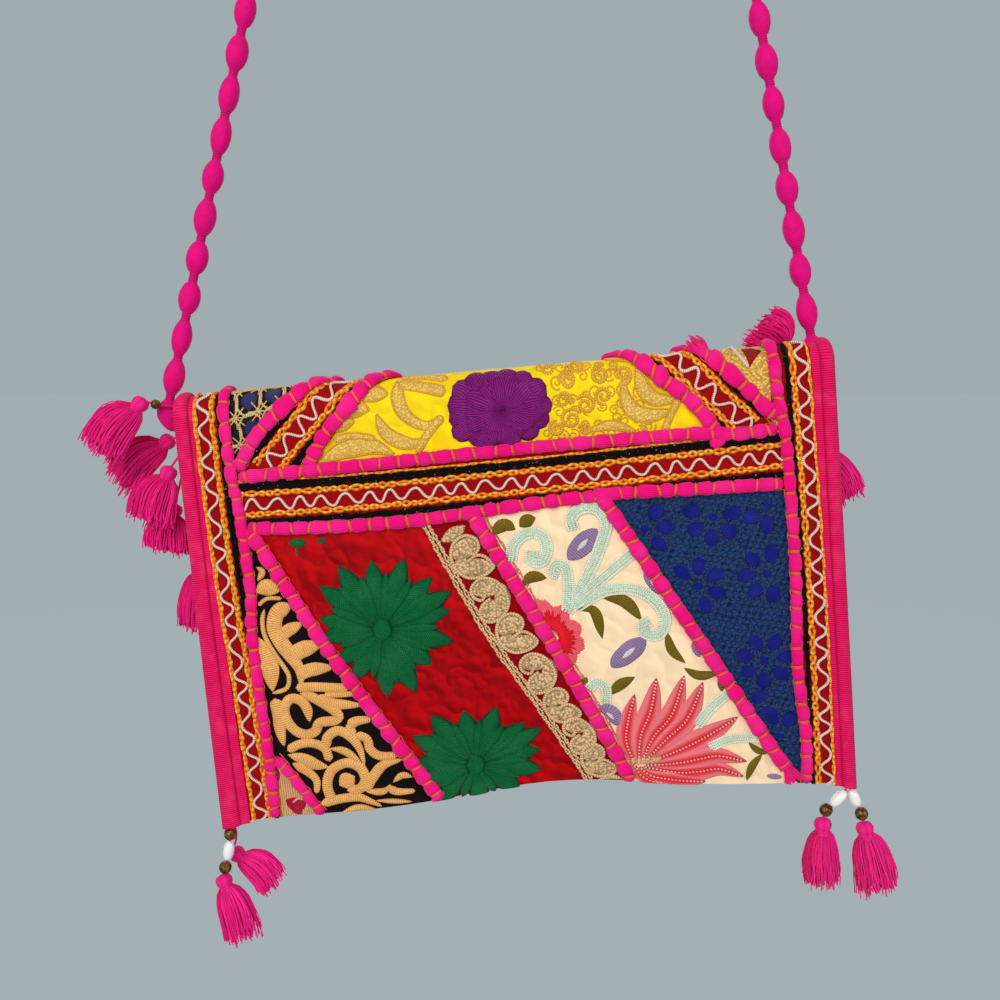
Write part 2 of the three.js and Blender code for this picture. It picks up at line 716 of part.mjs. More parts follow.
const clutch = new THREE.Group();
const bag = new THREE.Group();
bag.position.set(0, -STRAP_BEHIND, -HANG_DROP);
bag.rotation.y = -THREE.MathUtils.degToRad(HANG_TILT);
bag.updateMatrixWorld();
clutch.add(bag);

const wholeFlap = [
  [-CLOTH_HALF, FLAP_LOW], [CLOTH_HALF, FLAP_LOW],
  [CLOTH_HALF, FLAP_END], [-CLOTH_HALF, FLAP_END],
];
piece(bag, 'pouch', pouch(), BACK_CLOTH, 0.9);
piece(bag, 'flap', sheet(wholeFlap, -FLAP_THICK, 0), BACK_CLOTH, 0.9);
piece(bag, 'flap_binding_left', flapBinding(-1), PINK_TAPE, 0.75);
piece(bag, 'flap_binding_right', flapBinding(1), PINK_TAPE, 0.75);
piece(bag, 'pouch_binding_left', pouchBinding(-1), PINK_TAPE, 0.75);
piece(bag, 'pouch_binding_right', pouchBinding(1), PINK_TAPE, 0.75);
for (const { name, colour, corners } of PATCHES) {
  piece(bag, name, patch(corners), colour, 0.8);
}
for (const [name, line] of Object.entries(CORDS)) {
  piece(bag, name, cord(line), PINK_YARN, 0.8);
}
for (const [name, form] of Object.entries(TASSELS)) {
  piece(bag, name, tassel(form), PINK_YARN, 0.8);
}
for (const [name, { form, centre, axis }] of Object.entries(BEADS)) {
  const look = form === WHITE_BEAD ? [0xfaf0f0, 0.25, 0] : [0x825a37, 0.4, 0.8];
  piece(bag, name, bead(form, centre, axis), ...look);
}
piece(clutch, 'strap', strap(bag), PINK_CLOTH, 0.7);

export default clutch;
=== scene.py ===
"""Fold-over clutch bag of patchwork cloth, with couched yarn, ribbed bindings, tassels and a beaded strap.

The bag's own measures are millimetres: x runs right, y away from the front and z up. A place on the flap is
(x, v): v is the length up the front from the lower edge, over the fold and down to the seam at the back.
"""
import math

import bpy
import numpy as np
from mathutils import Matrix, Vector


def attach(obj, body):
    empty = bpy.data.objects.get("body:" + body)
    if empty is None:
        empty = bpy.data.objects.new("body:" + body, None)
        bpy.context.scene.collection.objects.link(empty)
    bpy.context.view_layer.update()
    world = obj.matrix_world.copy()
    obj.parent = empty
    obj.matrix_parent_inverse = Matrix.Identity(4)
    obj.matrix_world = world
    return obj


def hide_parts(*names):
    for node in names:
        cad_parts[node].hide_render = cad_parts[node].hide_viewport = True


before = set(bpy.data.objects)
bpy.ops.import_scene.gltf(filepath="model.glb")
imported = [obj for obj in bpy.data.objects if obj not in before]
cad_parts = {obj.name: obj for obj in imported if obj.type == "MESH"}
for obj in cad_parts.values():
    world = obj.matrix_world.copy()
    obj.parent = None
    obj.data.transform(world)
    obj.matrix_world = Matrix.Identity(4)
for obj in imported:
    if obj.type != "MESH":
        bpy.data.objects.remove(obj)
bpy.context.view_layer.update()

bl_info = {
    "name": "Patchwork clutch bag",
    "version": (1, 0, 0),
    "blender": (4, 5, 0),
    "location": "3D View > Sidebar > Bag",
    "description": "Sews the cloth, embroidery, cords, tassels and strap of a clutch bag over its frame",
    "category": "Object",
}

MM = 0.001
FINE = 1e-9

# How the bag hangs from its peg

HANG_DROP = 663
HANG_TILT = math.radians(4.94)
STRAP_BEHIND = 9
PEG_RADIUS = 12

# The folded cloth

CLOTH_HALF = 131.6
FOLD_TOP = 93
FOLD_RADIUS_MIDDLE = 11
FOLD_RADIUS_EDGE = 6.5
FRONT_TOP = 80
FRONT_LENGTH = 170
FOLD_LENGTH = 38
BACK_SEAM = 76
FRONT_BELLY = 4
BACK_BELLY = 1.5
LOWER_TAPER = 0.25
FLAP_LOW = FRONT_TOP - FRONT_LENGTH
FLAP_END = FRONT_TOP + FOLD_LENGTH
PATCH_LOW = FLAP_LOW + 0.5
PATCH_END = FLAP_END - 0.5
FLAP_THICK = 2
PATCH_TOP = 1.4
STITCH_BASE = 1.6
EDGE_LEVEL = -86.7
ARCH_HEIGHT = 8.4
ARCH_MIDDLE = 12
ARCH_REACH = 55
CORNER_DROOP = 3
DROOP_END = 140

# The pouch under the flap

POUCH_FLOOR = 1.5
POUCH_WALL = 2
LINING_FLOOR = 3
LINING_SIDE = 6
RIM_DROP = 0.3
FLAP_GAP = 0.6
SIDE_START = 95
SIDE_END = 123
SIDE_NARROWING = 2.4
WALL_COLUMNS = 70
SEAM_LENGTH = 160

# The strap and the tassels

STRAP_ON_PEG = 4.2
BEAD_RADIUS = 4.4
BEAD_SHARE = 0.80
NECK_RADIUS = 1.75
NECK_LEAST = 1.9
# Length of a tassel thread, from the head, that carries painted shade
TASSEL_SHADED_LENGTH = 9.0

# The stage, with places in metres and the lens and sensor in millimetres

CAMERA_PLACE = (0.0155, -0.4630, -0.5731)
CAMERA_FORWARD = (-0.0491, 0.9928, -0.1088)
CAMERA_LENS = 39.6
CAMERA_SENSOR = 36
CAMERA_NEAR = 0.01
LIGHT_AIM = (0, 0, -0.66)
LIGHTS = {
    # place, size, power
    "key": ((-0.5, -1.5, 0.05), 1.3, 22.5),
    "fill": ((1.2, -1.1, -0.5), 1.2, 6),
    "back": ((-0.3, 1.2, -0.1), 1.2, 6),
}
WORLD_STRENGTH = 0.6
FLOOR_HALF = 30.0
FLOOR_HEIGHT = -0.98
FLOOR_GLOW = 0.63


def tone(red, green, blue):
    """The linear colour of an sRGB colour given from 0 to 255."""
    share = np.array([red, green, blue]) / 255
    return tuple(np.where(share <= 0.04045, share / 12.92, ((share + 0.055) / 1.055) ** 2.4).tolist())


# Shapes of the hung bag


def hung(points):
    """Bag millimetres to model metres: turned about Y by the hang's tilt, then lowered from the peg."""
    x, y, z = np.moveaxis(np.asarray(points, float), -1, 0)
    cos, sin = math.cos(HANG_TILT), math.sin(HANG_TILT)
    return np.stack([x * cos - z * sin, y - STRAP_BEHIND, x * sin + z * cos - HANG_DROP], -1) * MM


def middleness(x):
    """1 at the middle of the bag, falling to 0 at its sides as a parabola."""
    return 1 - (np.clip(x, -CLOTH_HALF, CLOTH_HALF) / CLOTH_HALF) ** 2


def fold_radius(x):
    """The round of the top fold, larger at the middle than at the sides."""
    return FOLD_RADIUS_EDGE + (FOLD_RADIUS_MIDDLE - FOLD_RADIUS_EDGE) * middleness(x)


def lower_edge(x):
    """Height of the flap's lower edge: a level line with a soft arch and drooping corners."""
    arch = ARCH_HEIGHT * np.exp(-(((x - ARCH_MIDDLE) / ARCH_REACH) ** 2))
    droop = CORNER_DROOP * (np.clip(x, -DROOP_END, DROOP_END) / CLOTH_HALF) ** 10
    return EDGE_LEVEL + arch - droop


def depth_at(x, z, belly):
    """Half the bag's depth: the fold's radius, less by a cube downwards, plus a squared sine as a belly."""
    share = np.clip((FRONT_TOP - z) / (FRONT_TOP - lower_edge(x)), 0, 1)
    swell = belly * middleness(x) * np.sin(np.pi * share) ** 2
    return fold_radius(x) * (1 - LOWER_TAPER * share**3) + swell


def flap_face(x, v):
    """The flap's face: it lies on the bag's belly up to the fold, then goes round a half circle and down."""
    x, v = np.broadcast_arrays(np.asarray(x, float), np.asarray(v, float))
    z = FRONT_TOP - (FRONT_TOP - v) * (FRONT_TOP - lower_edge(x)) / FRONT_LENGTH
    front = np.stack([x, -depth_at(x, z, FRONT_BELLY), z], -1)
    radius = fold_radius(x)
    rise = FOLD_TOP - radius - FRONT_TOP
    length = rise + np.pi * radius + FOLD_TOP - radius - BACK_SEAM
    along = length * (v - FRONT_TOP) / FOLD_LENGTH
    turn = np.clip((along - rise) / radius, 0, np.pi)
    down = np.maximum(along - rise - np.pi * radius, 0)
    top = FRONT_TOP + np.minimum(along, rise) + radius * np.sin(turn) - down
    fold = np.stack([x, -radius * np.cos(turn), top], -1)
    return np.where((v <= FRONT_TOP)[..., None], front, fold)


def flap_point(x, v, lift):
    """A point above the flap: its face plus lift along the normal, the cross product of the two slopes."""
    step = 0.05
    slope_x = flap_face(np.add(x, step), v) - flap_face(np.subtract(x, step), v)
    slope_v = flap_face(x, np.add(v, step)) - flap_face(x, np.subtract(v, step))
    normal = np.cross(slope_x, slope_v)
    normal /= np.linalg.norm(normal, axis=-1, keepdims=True)
    return flap_face(x, v) + normal * np.asarray(lift, float)[..., None]


def on_flap(x, v, lift):
    """Model points above the flap."""
    x, v, lift = np.broadcast_arrays(x, v, lift)
    return hung(flap_point(x, v, lift))


def length_so_far(line):
    """The length of a line from its first point to each of its points."""
    return np.concatenate([[0], np.cumsum(np.linalg.norm(np.diff(line, axis=0), axis=1))])


def smooth_line(points, step):
    """A Catmull-Rom curve through the points at even steps, and the length so far at each step."""
    knots = np.asarray(points, float)
    if len(knots) > 2:
        knots = np.vstack([2 * knots[0] - knots[1], knots, 2 * knots[-1] - knots[-2]])
        t = np.linspace(0, 1, 24, endpoint=False)[:, None]
        a, b, c, d = (k[:, None] for k in (knots[:-3], knots[1:-2], knots[2:-1], knots[3:]))
        curve = b + 0.5 * ((c - a) * t + (2 * a - 5 * b + 4 * c - d) * t**2 + (3 * b - a - 3 * c + d) * t**3)
        knots = np.vstack([curve.reshape(-1, knots.shape[1]), knots[-2]])
    length = length_so_far(knots)
    stops = np.linspace(0, length[-1], max(3, round(length[-1] / step) + 1))
    return np.stack([np.interp(stops, length, column) for column in knots.T], -1), stops


def unit(vectors):
    """The vectors at length 1."""
    return vectors / np.maximum(np.linalg.norm(vectors, axis=-1, keepdims=True), FINE)


def sideways(line):
    """The direction to the right of each step of a line on the flap."""
    along = unit(np.gradient(line, axis=0))
    return np.stack([along[:, 1], -along[:, 0]], -1)


def turn_round(across, up, sides):
    """Arms that turn once round each step of a line: cosines of one direction plus sines of the other."""
    angle = np.linspace(0, 2 * np.pi, sides, endpoint=False)[:, None]
    return np.cos(angle) * across[..., None, :] + np.sin(angle) * up[..., None, :]


def smooth_step(value, low, high):
    """0 below low and 1 above high, with level ends."""
    share = np.clip((value - low) / (high - low), 0, 1)
    return share * share * (3 - 2 * share)


class Cloth:
    """Gathers closed surfaces into one mesh: points, faces, thread coordinates and finish numbers."""

    def __init__(self):
        self.points, self.threads, self.faces, self.numbers, self.count = [], [], [], [], 0

    def tubes(self, points, threads, finish=0, flat=False):
        """Closed tubes from points (tubes, rings, sides, 3): quads between rings, and ends closed by a fan
        to the ring's middle, or by a strip across it where the ring is flat. A tube with a negative volume
        is turned."""
        tubes, rings, sides, _ = points.shape
        ring = np.arange(rings * sides).reshape(rings, sides)
        onward = np.roll(ring, -1, 1)
        quads = np.stack([ring[:-1], onward[:-1], onward[1:], ring[1:]], -1).reshape(-1, 4)
        first, last = ring[0], ring[-1]
        size = rings * sides
        points = points.reshape(tubes, size, 3)
        threads = np.broadcast_to(threads, (tubes, rings, sides, 2)).reshape(tubes, size, 2)
        if flat:
            j = np.arange(sides // 2 - 1)
            k = sides - 1 - j
            strip = [np.stack([r[j + 1], r[j], r[k], r[k - 1]], -1) for r in (first, last)]
            ends = np.vstack([strip[0], strip[1][:, ::-1]])
        else:
            middle = [points[:, r].mean(1, keepdims=True) for r in (first, last)]
            points = np.concatenate([points, *middle], 1)
            threads = np.concatenate([threads, threads[:, first[:1]], threads[:, last[:1]]], 1)
            near, far = np.full(sides, size), np.full(sides, size + 1)
            fans = [np.stack([onward[0], first, near], -1), np.stack([last, onward[-1], far], -1)]
            ends = np.vstack(fans)
            size += 2
        a, b, c, d = (points[:, quads[:, i]] for i in range(4))
        centre = points.mean(1, keepdims=True)
        volume = (np.cross(b - a, c - a) + np.cross(c - a, d - a)) * (a + c - 2 * centre)
        turned = volume.sum((1, 2)) < 0
        starts = self.count + size * np.arange(tubes)
        for faces in (quads, ends):
            placed = faces[None] + starts[:, None, None]
            placed = np.where(turned[:, None, None], placed[:, :, ::-1], placed).reshape(-1, faces.shape[1])
            self.faces.append(placed)
            self.numbers.append(np.full(len(placed), finish))
        self.points.append(points.reshape(-1, 3))
        self.threads.append(threads.reshape(-1, 2))
        self.count += size * tubes

    def slab(self, top, bottom, threads):
        """A sheet with thickness: a row of the top and that of the bottom, turned back, make a ring."""
        rings = np.concatenate([top, bottom[:, ::-1]], 1)
        both = np.concatenate([threads, threads[:, ::-1]], 1)
        self.tubes(rings[None], both[None], flat=True)

    def made(self, name, finishes, slot, replaces=(), crease=50):
        """The gathered mesh as a piece on the bag, with its finishes and the solids it replaces; slot is not
        used.
        """
        mesh = bpy.data.meshes.new(name)
        points = np.concatenate(self.points).astype(np.float32)
        corners = np.concatenate([f.ravel() for f in self.faces]).astype(np.int32)
        sizes = np.concatenate([np.full(len(f), f.shape[1]) for f in self.faces])
        mesh.vertices.add(len(points))
        mesh.vertices.foreach_set("co", points.ravel())
        mesh.loops.add(len(corners))
        mesh.loops.foreach_set("vertex_index", corners)
        mesh.polygons.add(len(sizes))
        mesh.polygons.foreach_set("loop_start", (np.cumsum(sizes) - sizes).astype(np.int32))
        mesh.polygons.foreach_set("material_index", np.concatenate(self.numbers).astype(np.int32))
        mesh.polygons.foreach_set("use_smooth", np.ones(len(sizes), bool))
        threads = np.concatenate(self.threads).astype(np.float32)[corners]
        mesh.uv_layers.new(name="thread").data.foreach_set("uv", threads.ravel())
        mesh.update(calc_edges=True)
        if mesh.validate():
            raise RuntimeError(f"{name} has faces that can't be used")
        mesh.set_sharp_from_angle(angle=math.radians(crease))
        for one in finishes:
            mesh.materials.append(one)
        made = bpy.data.objects.new(name, mesh)
        bpy.context.scene.collection.objects.link(made)
        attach(made, "root")
        if replaces:
            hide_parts(*replaces)
        return made


# Shader maths


class Field:
    """A shader socket that takes part in Python expressions; each operator adds a Math node to its tree."""

    def __init__(self, tree, socket=None):
        self.tree, self.socket = tree, socket

    def node(self, kind, settings=None, values=None, output=0):
        """Any node: its type, its settings, which are set first, and its sockets' values or links."""
        made = self.tree.nodes.new("ShaderNode" + kind)
        for key, value in (settings or {}).items():
            setattr(made, key, value)
        for key, value in (values or {}).items():
            if isinstance(value, Field):
                self.tree.links.new(value.socket, made.inputs[key])
            else:
                made.inputs[key].default_value = value
        return Field(self.tree, made.outputs[output])

    def math(self, operation, *values):
        """A Math node over fields and numbers."""
        return self.node("Math", {"operation": operation}, dict(enumerate(values)))

    def __add__(self, other):
        return self.math("ADD", self, other)

    def __sub__(self, other):
        return self.math("SUBTRACT", self, other)

    def __rsub__(self, other):
        return self.math("SUBTRACT", other, self)

    def __mul__(self, other):
        return self.math("MULTIPLY", self, other)

    def __truediv__(self, other):
        return self.math("DIVIDE", self, other)

    def __abs__(self):
        return self.math("ABSOLUTE", self)

    def sine(self):
        return self.math("SINE", self)

    def between(self, low, high):
        """0 below low, 1 above high and a smooth step between."""
        settings = {"interpolation_type": "SMOOTHSTEP"}
        return self.node("MapRange", settings, {"Value": self, "From Min": low, "From Max": high})

    def blend(self, low, high):
        """The colour low where the field is 0 and high where it is 1."""
        ends = [one if isinstance(one, Field) else (*one, 1) for one in (low, high)]
        return self.node("Mix", {"data_type": "RGBA"}, {0: self, 6: ends[0], 7: ends[1]}, 2)


class Finish:
    """A material in the making: the fields that its pattern starts from, and its closing on the shader."""

    def __init__(self, name):
        self.material = bpy.data.materials.new(name)
        self.material.use_nodes = True
        tree = self.material.node_tree
        self.shader = tree.nodes["Principled BSDF"]
        self.root = Field(tree)
        self.place = self.root.node("TexCoord", output="Object")
        thread = self.root.node("UVMap", {"uv_map": "thread"})
        self.along = self.root.node("SeparateXYZ", values={0: thread})
        self.across = Field(tree, self.along.socket.node.outputs[1])

    def noise(self, size, detail=2.0, shift=0.0):
        """Noise from 0 to 1 with grains of a size in millimetres, read a shift further right and up."""
        place = self.place
        if shift:
            aside = (shift * MM, 0, shift * MM)
            place = self.root.node("Mapping", None, {"Vector": place, "Location": aside})
        values = {"Vector": place, "Scale": 1 / (size * MM), "Detail": detail}
        return self.root.node("TexNoise", None, values)

    def cells(self, size):
        """Distance to the nearest of scattered points that are about that far apart, in millimetres."""
        return self.root.node("TexVoronoi", None, {"Vector": self.place, "Scale": 1 / (size * MM)})

    def rows(self, field, pitch, wander=0.0):
        """Rows at a pitch in millimetres, 0 in a groove and 1 on a row, that wander by a share of it."""
        turns = field * (2 * math.pi / pitch)
        if wander:
            turns = turns + self.noise(4 * pitch) * (2 * math.pi * wander)
        return turns.sine() * 0.5 + 0.5

    def close(self, colour, rough, height=None, depth=0.2, sheen=0.0, coat=0.0, metal=0.0, shine=0.12):
        """Joins colour, roughness and height to the shader, and sets what is even all over."""
        sockets, links = self.shader.inputs, self.material.node_tree.links
        links.new(colour.socket, sockets["Base Color"])
        if isinstance(rough, Field):
            links.new(rough.socket, sockets["Roughness"])
        else:
            sockets["Roughness"].default_value = rough
        sockets["Sheen Weight"].default_value = sheen
        sockets["Sheen Roughness"].default_value = 0.4
        sockets["Coat Weight"].default_value = coat
        sockets["Metallic"].default_value = metal
        sockets["Specular IOR Level"].default_value = shine
        if height is not None:
            bump = self.root.node("Bump", None, {"Strength": 0.9, "Distance": depth * MM, "Height": height})
            links.new(bump.socket, sockets["Normal"])
        return self.material


def darker(colour, share):
    """The colour at a share of its brightness."""
    return tuple(share * one for one in colour)


def brighter(colour, share, white=0.0):
    """The colour at a share over its brightness with a little white, kept at or below full."""
    return tuple(min(1.0, one * share + white) for one in colour)


def satin_finish(name, colour, pitch, line="along", fleck=0.3, rough=0.6, deep=0.6, metal=0.0, edge=0.0):
    """Stitched thread: rows across the shape, along it or slanting to both sides, or knots. Their grooves
    get painted shade, and so does the shape's edge where an edge is given, where petals meet; random grain
    flecks and soft random patches vary the tone."""
    f = Finish(name)
    if line == "pebble":
        rows = 1 - f.cells(pitch).between(0.15, 0.7)
    elif line == "slant":
        rows = f.rows(f.along + abs(f.across) * 0.8, pitch, 0.4)
    else:
        rows = f.rows(f.along if line == "along" else f.across, pitch, 0.4)
    grain = f.noise(0.8)
    shade = (rows * (1 - fleck) + grain * fleck * 1.3).between(0.1, 0.75)
    bright = brighter(colour, 1.15, 0.01)
    # Painted shade in the grooves: the colour falls to a share deep of itself there.
    tint = shade.blend(darker(colour, deep), colour)
    tint = f.noise(8).between(0.35, 0.75).blend(tint, shade.blend(darker(colour, deep), bright))
    if edge:
        # Painted shade near the shape's edge, where petals meet and overlap; on the royal petals it also
        # stands for their darker outlines.
        tint = abs(f.across).between(0.62 * edge, edge).blend(tint, darker(colour, 0.3))
    return f.close(tint, grain * 0.2 + (rough - 0.1), rows + grain * 0.6, depth=0.3, sheen=0.03, metal=metal)


def woven_finish(name, colour, pitch):
    """Plain cloth: warp over weft as the product of two rows of waves, over soft folds; the weave's gaps and
    the folds get painted shade.
    """
    f = Finish(name)
    warp = f.rows(f.along, pitch)
    weft = f.rows(f.across, pitch)
    weave = warp * weft + (1 - warp) * (1 - weft)
    fold = f.noise(16, 3.0)
    # Painted shade: the weave's gaps and the soft folds darken the colour, and the folds also raise the
    # bump.
    shade = weave * 0.5 + fold * 0.6
    tint = shade.between(0.2, 0.85).blend(darker(colour, 0.65), colour)
    return f.close(tint, fold * 0.15 + 0.72, weave * 0.12 + fold * 2, depth=0.3, sheen=0.06)


def silk_finish(name, colour, rough, folds, crease, deep):
    """Crumpled silk: a fine weave under sharp creases, with painted light on one side of each crease and
    painted shade on the other, taken as the height of the crumple less its height a little further on."""
    f = Finish(name)
    crumple = abs(f.noise(crease, 1.6) - 0.5) * 2
    beyond = abs(f.noise(crease, 1.6, 0.07 * crease) - 0.5) * 2
    # Painted light and shade on the creases, as an emboss; the lit side takes the brighter colour.
    crease_light_shade = ((crumple - beyond) * 3 + 0.5).between(0.1, 0.9)
    fine = f.rows(f.along + f.across, 0.8)
    bright = brighter(colour, 1.08)
    shade = crease_light_shade * 0.75 + f.noise(2.5 * crease).between(0.3, 0.7) * 0.25
    tint = shade.blend(darker(colour, deep), bright)
    return f.close(tint, crumple * 0.15 + rough, crumple * folds + fine * 0.02, depth=1.2, shine=0.05)


def yarn_finish(name, colour, pale, pitch=0.9):
    """Bundled yarn: strands along the bundle with painted shade in the gaps between them and random tone,
    and a paler painted sheen blended in over soft random patches.
    """
    f = Finish(name)
    strands = f.rows(f.across, pitch, 0.6)
    loose = f.noise(1.6)
    sheen_patches = f.noise(14)
    # The gaps between strands get painted shade, with random tone from the loose noise.
    tint = (strands * 0.6 + loose * 0.5).between(0.1, 0.9).blend(darker(colour, 0.72), colour)
    # Painted sheen: the paler yarn highlight over soft random patches.
    tint = (sheen_patches.between(0.35, 0.75) * 0.55).blend(tint, pale)
    return f.close(tint, 0.8, strands + loose * 0.6, sheen=0.08)


def tape_finish(name, colour, pitch, shaded_groove=None):
    """Ribbed tape: painted shade in the ribs' grooves, a little paler with white in soft random patches, and
    where a shaded groove is given, painted shade along the line between the flat edge and the roll."""
    f = Finish(name)
    ribs = f.rows(f.along, pitch)
    pale_patches = f.noise(7, 3.0)
    # Painted shade in the ribs' grooves.
    tint = (ribs * 0.75 + f.noise(0.8) * 0.35).between(0.1, 0.95).blend(darker(colour, 0.46), colour)
    # A little paler with white in soft random patches.
    tint = (pale_patches.between(0.45, 0.8) * 0.35).blend(tint, brighter(colour, 1, 0.06))
    if shaded_groove:
        # Painted shade along the groove between the flat edge and the roll.
        tint = (1 - abs(f.across - shaded_groove).between(0.15, 0.6)).blend(tint, darker(colour, 0.48))
    return f.close(tint, 0.8, ribs + f.noise(0.5) * 0.4, sheen=0.06)


def velvet_finish(name, colour, bloom):
    """Short pile: noise in the nap moves the tone between the ground and its bloom."""
    f = Finish(name)
    nap = f.noise(0.7, 3.0)
    lay = f.noise(12)
    tint = (nap * 0.6 + lay * 0.5).between(0.35, 0.85).blend(colour, bloom)
    return f.close(tint, 0.95, nap, depth=0.3, sheen=0.02)


def brocade_finish(name, ground, thread, dots):
    """Navy brocade: a slanting basket weave that mixes two blues, dark in its gaps, with dotted stitches."""
    f = Finish(name)
    one = f.rows(f.along * 0.9 + f.across * 0.45, 4.4, 0.4)
    two = f.rows(f.along * 0.45 - f.across * 0.9, 3.4, 0.4)
    weave = one * two + (1 - one) * (1 - two)
    grain = f.noise(0.8, 3.0)
    tint = (weave * 0.55 + grain * 0.65).between(0.3, 0.9).blend(ground, thread)
    flecks = (f.noise(1.0, 1.0) * 0.6 + (1 - weave) * 0.4).between(0.6, 0.68)
    return f.close((flecks * 0.6).blend(tint, dots), 0.75, weave + grain * 0.5, depth=0.7, sheen=0.02)


def specked_finish(name, colour, glint, share):
    """A dark stitched strip with painted shade in the grooves between rows, and a few pale dots painted as
    glints.
    """
    f = Finish(name)
    rows = f.rows(f.along, 1.0, 0.5)
    # Painted glints: a few pale dots; the rows' grooves get painted shade.
    flecks = f.noise(1.1, 1.0).between(share, share + 0.06)
    tint = flecks.blend(rows.blend(darker(colour, 0.5), colour), glint)
    return f.close(tint, 0.85, rows + f.noise(0.6), depth=0.3, sheen=0.02)


def petal_finish(name, colour, core):
    """Long petals: a deep core beside the middle line, pale towards the edges, in stitches that slant, with
    a faint painted shade in their grooves.
    """
    f = Finish(name)
    side = abs(f.across)
    slant = f.rows(f.along + side * 0.9, 0.9, 0.4)
    deep = (1 - side.between(0.7, 3.2)) * 0.92
    pale = brighter(colour, 1.05, 0.04)
    # The slanting stitches' grooves get a faint painted shade.
    tint = side.between(1.5, 3.4).blend(slant.blend(darker(colour, 0.96), colour), pale)
    tint = deep.blend(tint, core)
    return f.close(tint, 0.55, slant - deep * 0.6, depth=0.28, sheen=0.03)


def brass_finish(name, colour):
    """Old brass: dark in the hollows, bright where it rubs."""
    f = Finish(name)
    stain = f.noise(1.6, 4.0)
    tint = stain.between(0.38, 0.66).blend(darker(colour, 0.22), colour)
    return f.close(tint, 0.62 - stain * 0.3, stain, metal=0.85)


def glass_bead_finish(name, colour):
    """Milky glass bead with a faint cloud and a clear gloss."""
    f = Finish(name)
    cloud = f.noise(2.2)
    return f.close(cloud.blend(darker(colour, 0.86), colour), 0.2, coat=0.4, shine=0.5)


def tassel_finish(name, colour, pale):
    """Loose threads: each has its own tone, kept in its second thread coordinate; a few are paler as painted
    highlight, and all carry painted shade near the head."""
    f = Finish(name)
    own = f.across
    tint = own.blend(darker(colour, 0.62), brighter(colour, 1.1, 0.02))
    # A few threads take the paler yarn highlight, as painted highlight.
    tint = (own.between(0.86, 1.0) * 0.6).blend(tint, pale)
    twist = f.rows(f.along, 0.9)
    # Painted shade near the head, where the threads gather under it.
    root = f.along.between(0.0, TASSEL_SHADED_LENGTH) * 0.35 + 0.65
    tint = root.blend(darker(colour, 0.3), tint)
    return f.close(tint, 0.8, twist, depth=0.1, sheen=0.08)


# What a user may change


def length_value(name, words, millimetres):
    """A length that the panel shows, given here in millimetres."""
    return bpy.props.FloatProperty(
        name=name, description=words, default=millimetres * MM, unit="LENGTH", precision=5, min=0.0001
    )


def colour_value(name, words, *rgb):
    """A colour that the panel shows, given here as sRGB from 0 to 255."""
    return bpy.props.FloatVectorProperty(
        name=name, description=words, default=tone(*rgb), subtype="COLOR", size=3, min=0, max=1
    )


class BagSizes(bpy.types.PropertyGroup):
    """Pitches and thicknesses of the sewn detail."""

    couching_pitch: length_value("Couching pitch", "Length of cord between two orange stitches", 7.8)
    rib_pitch: length_value("Rib pitch", "Distance between two ribs of the binding tape", 0.9)
    zigzag_period: length_value("Zigzag period", "Length of one wave of the zigzag", 9.6)
    braid_period: length_value("Braid period", "Length of one crossing of the orange braid", 8.0)
    bead_pitch: length_value("Bead pitch", "Distance between two beads of the strap", 17)
    tassel_thread: length_value("Tassel thread", "Radius of one thread of a tassel", 0.29)


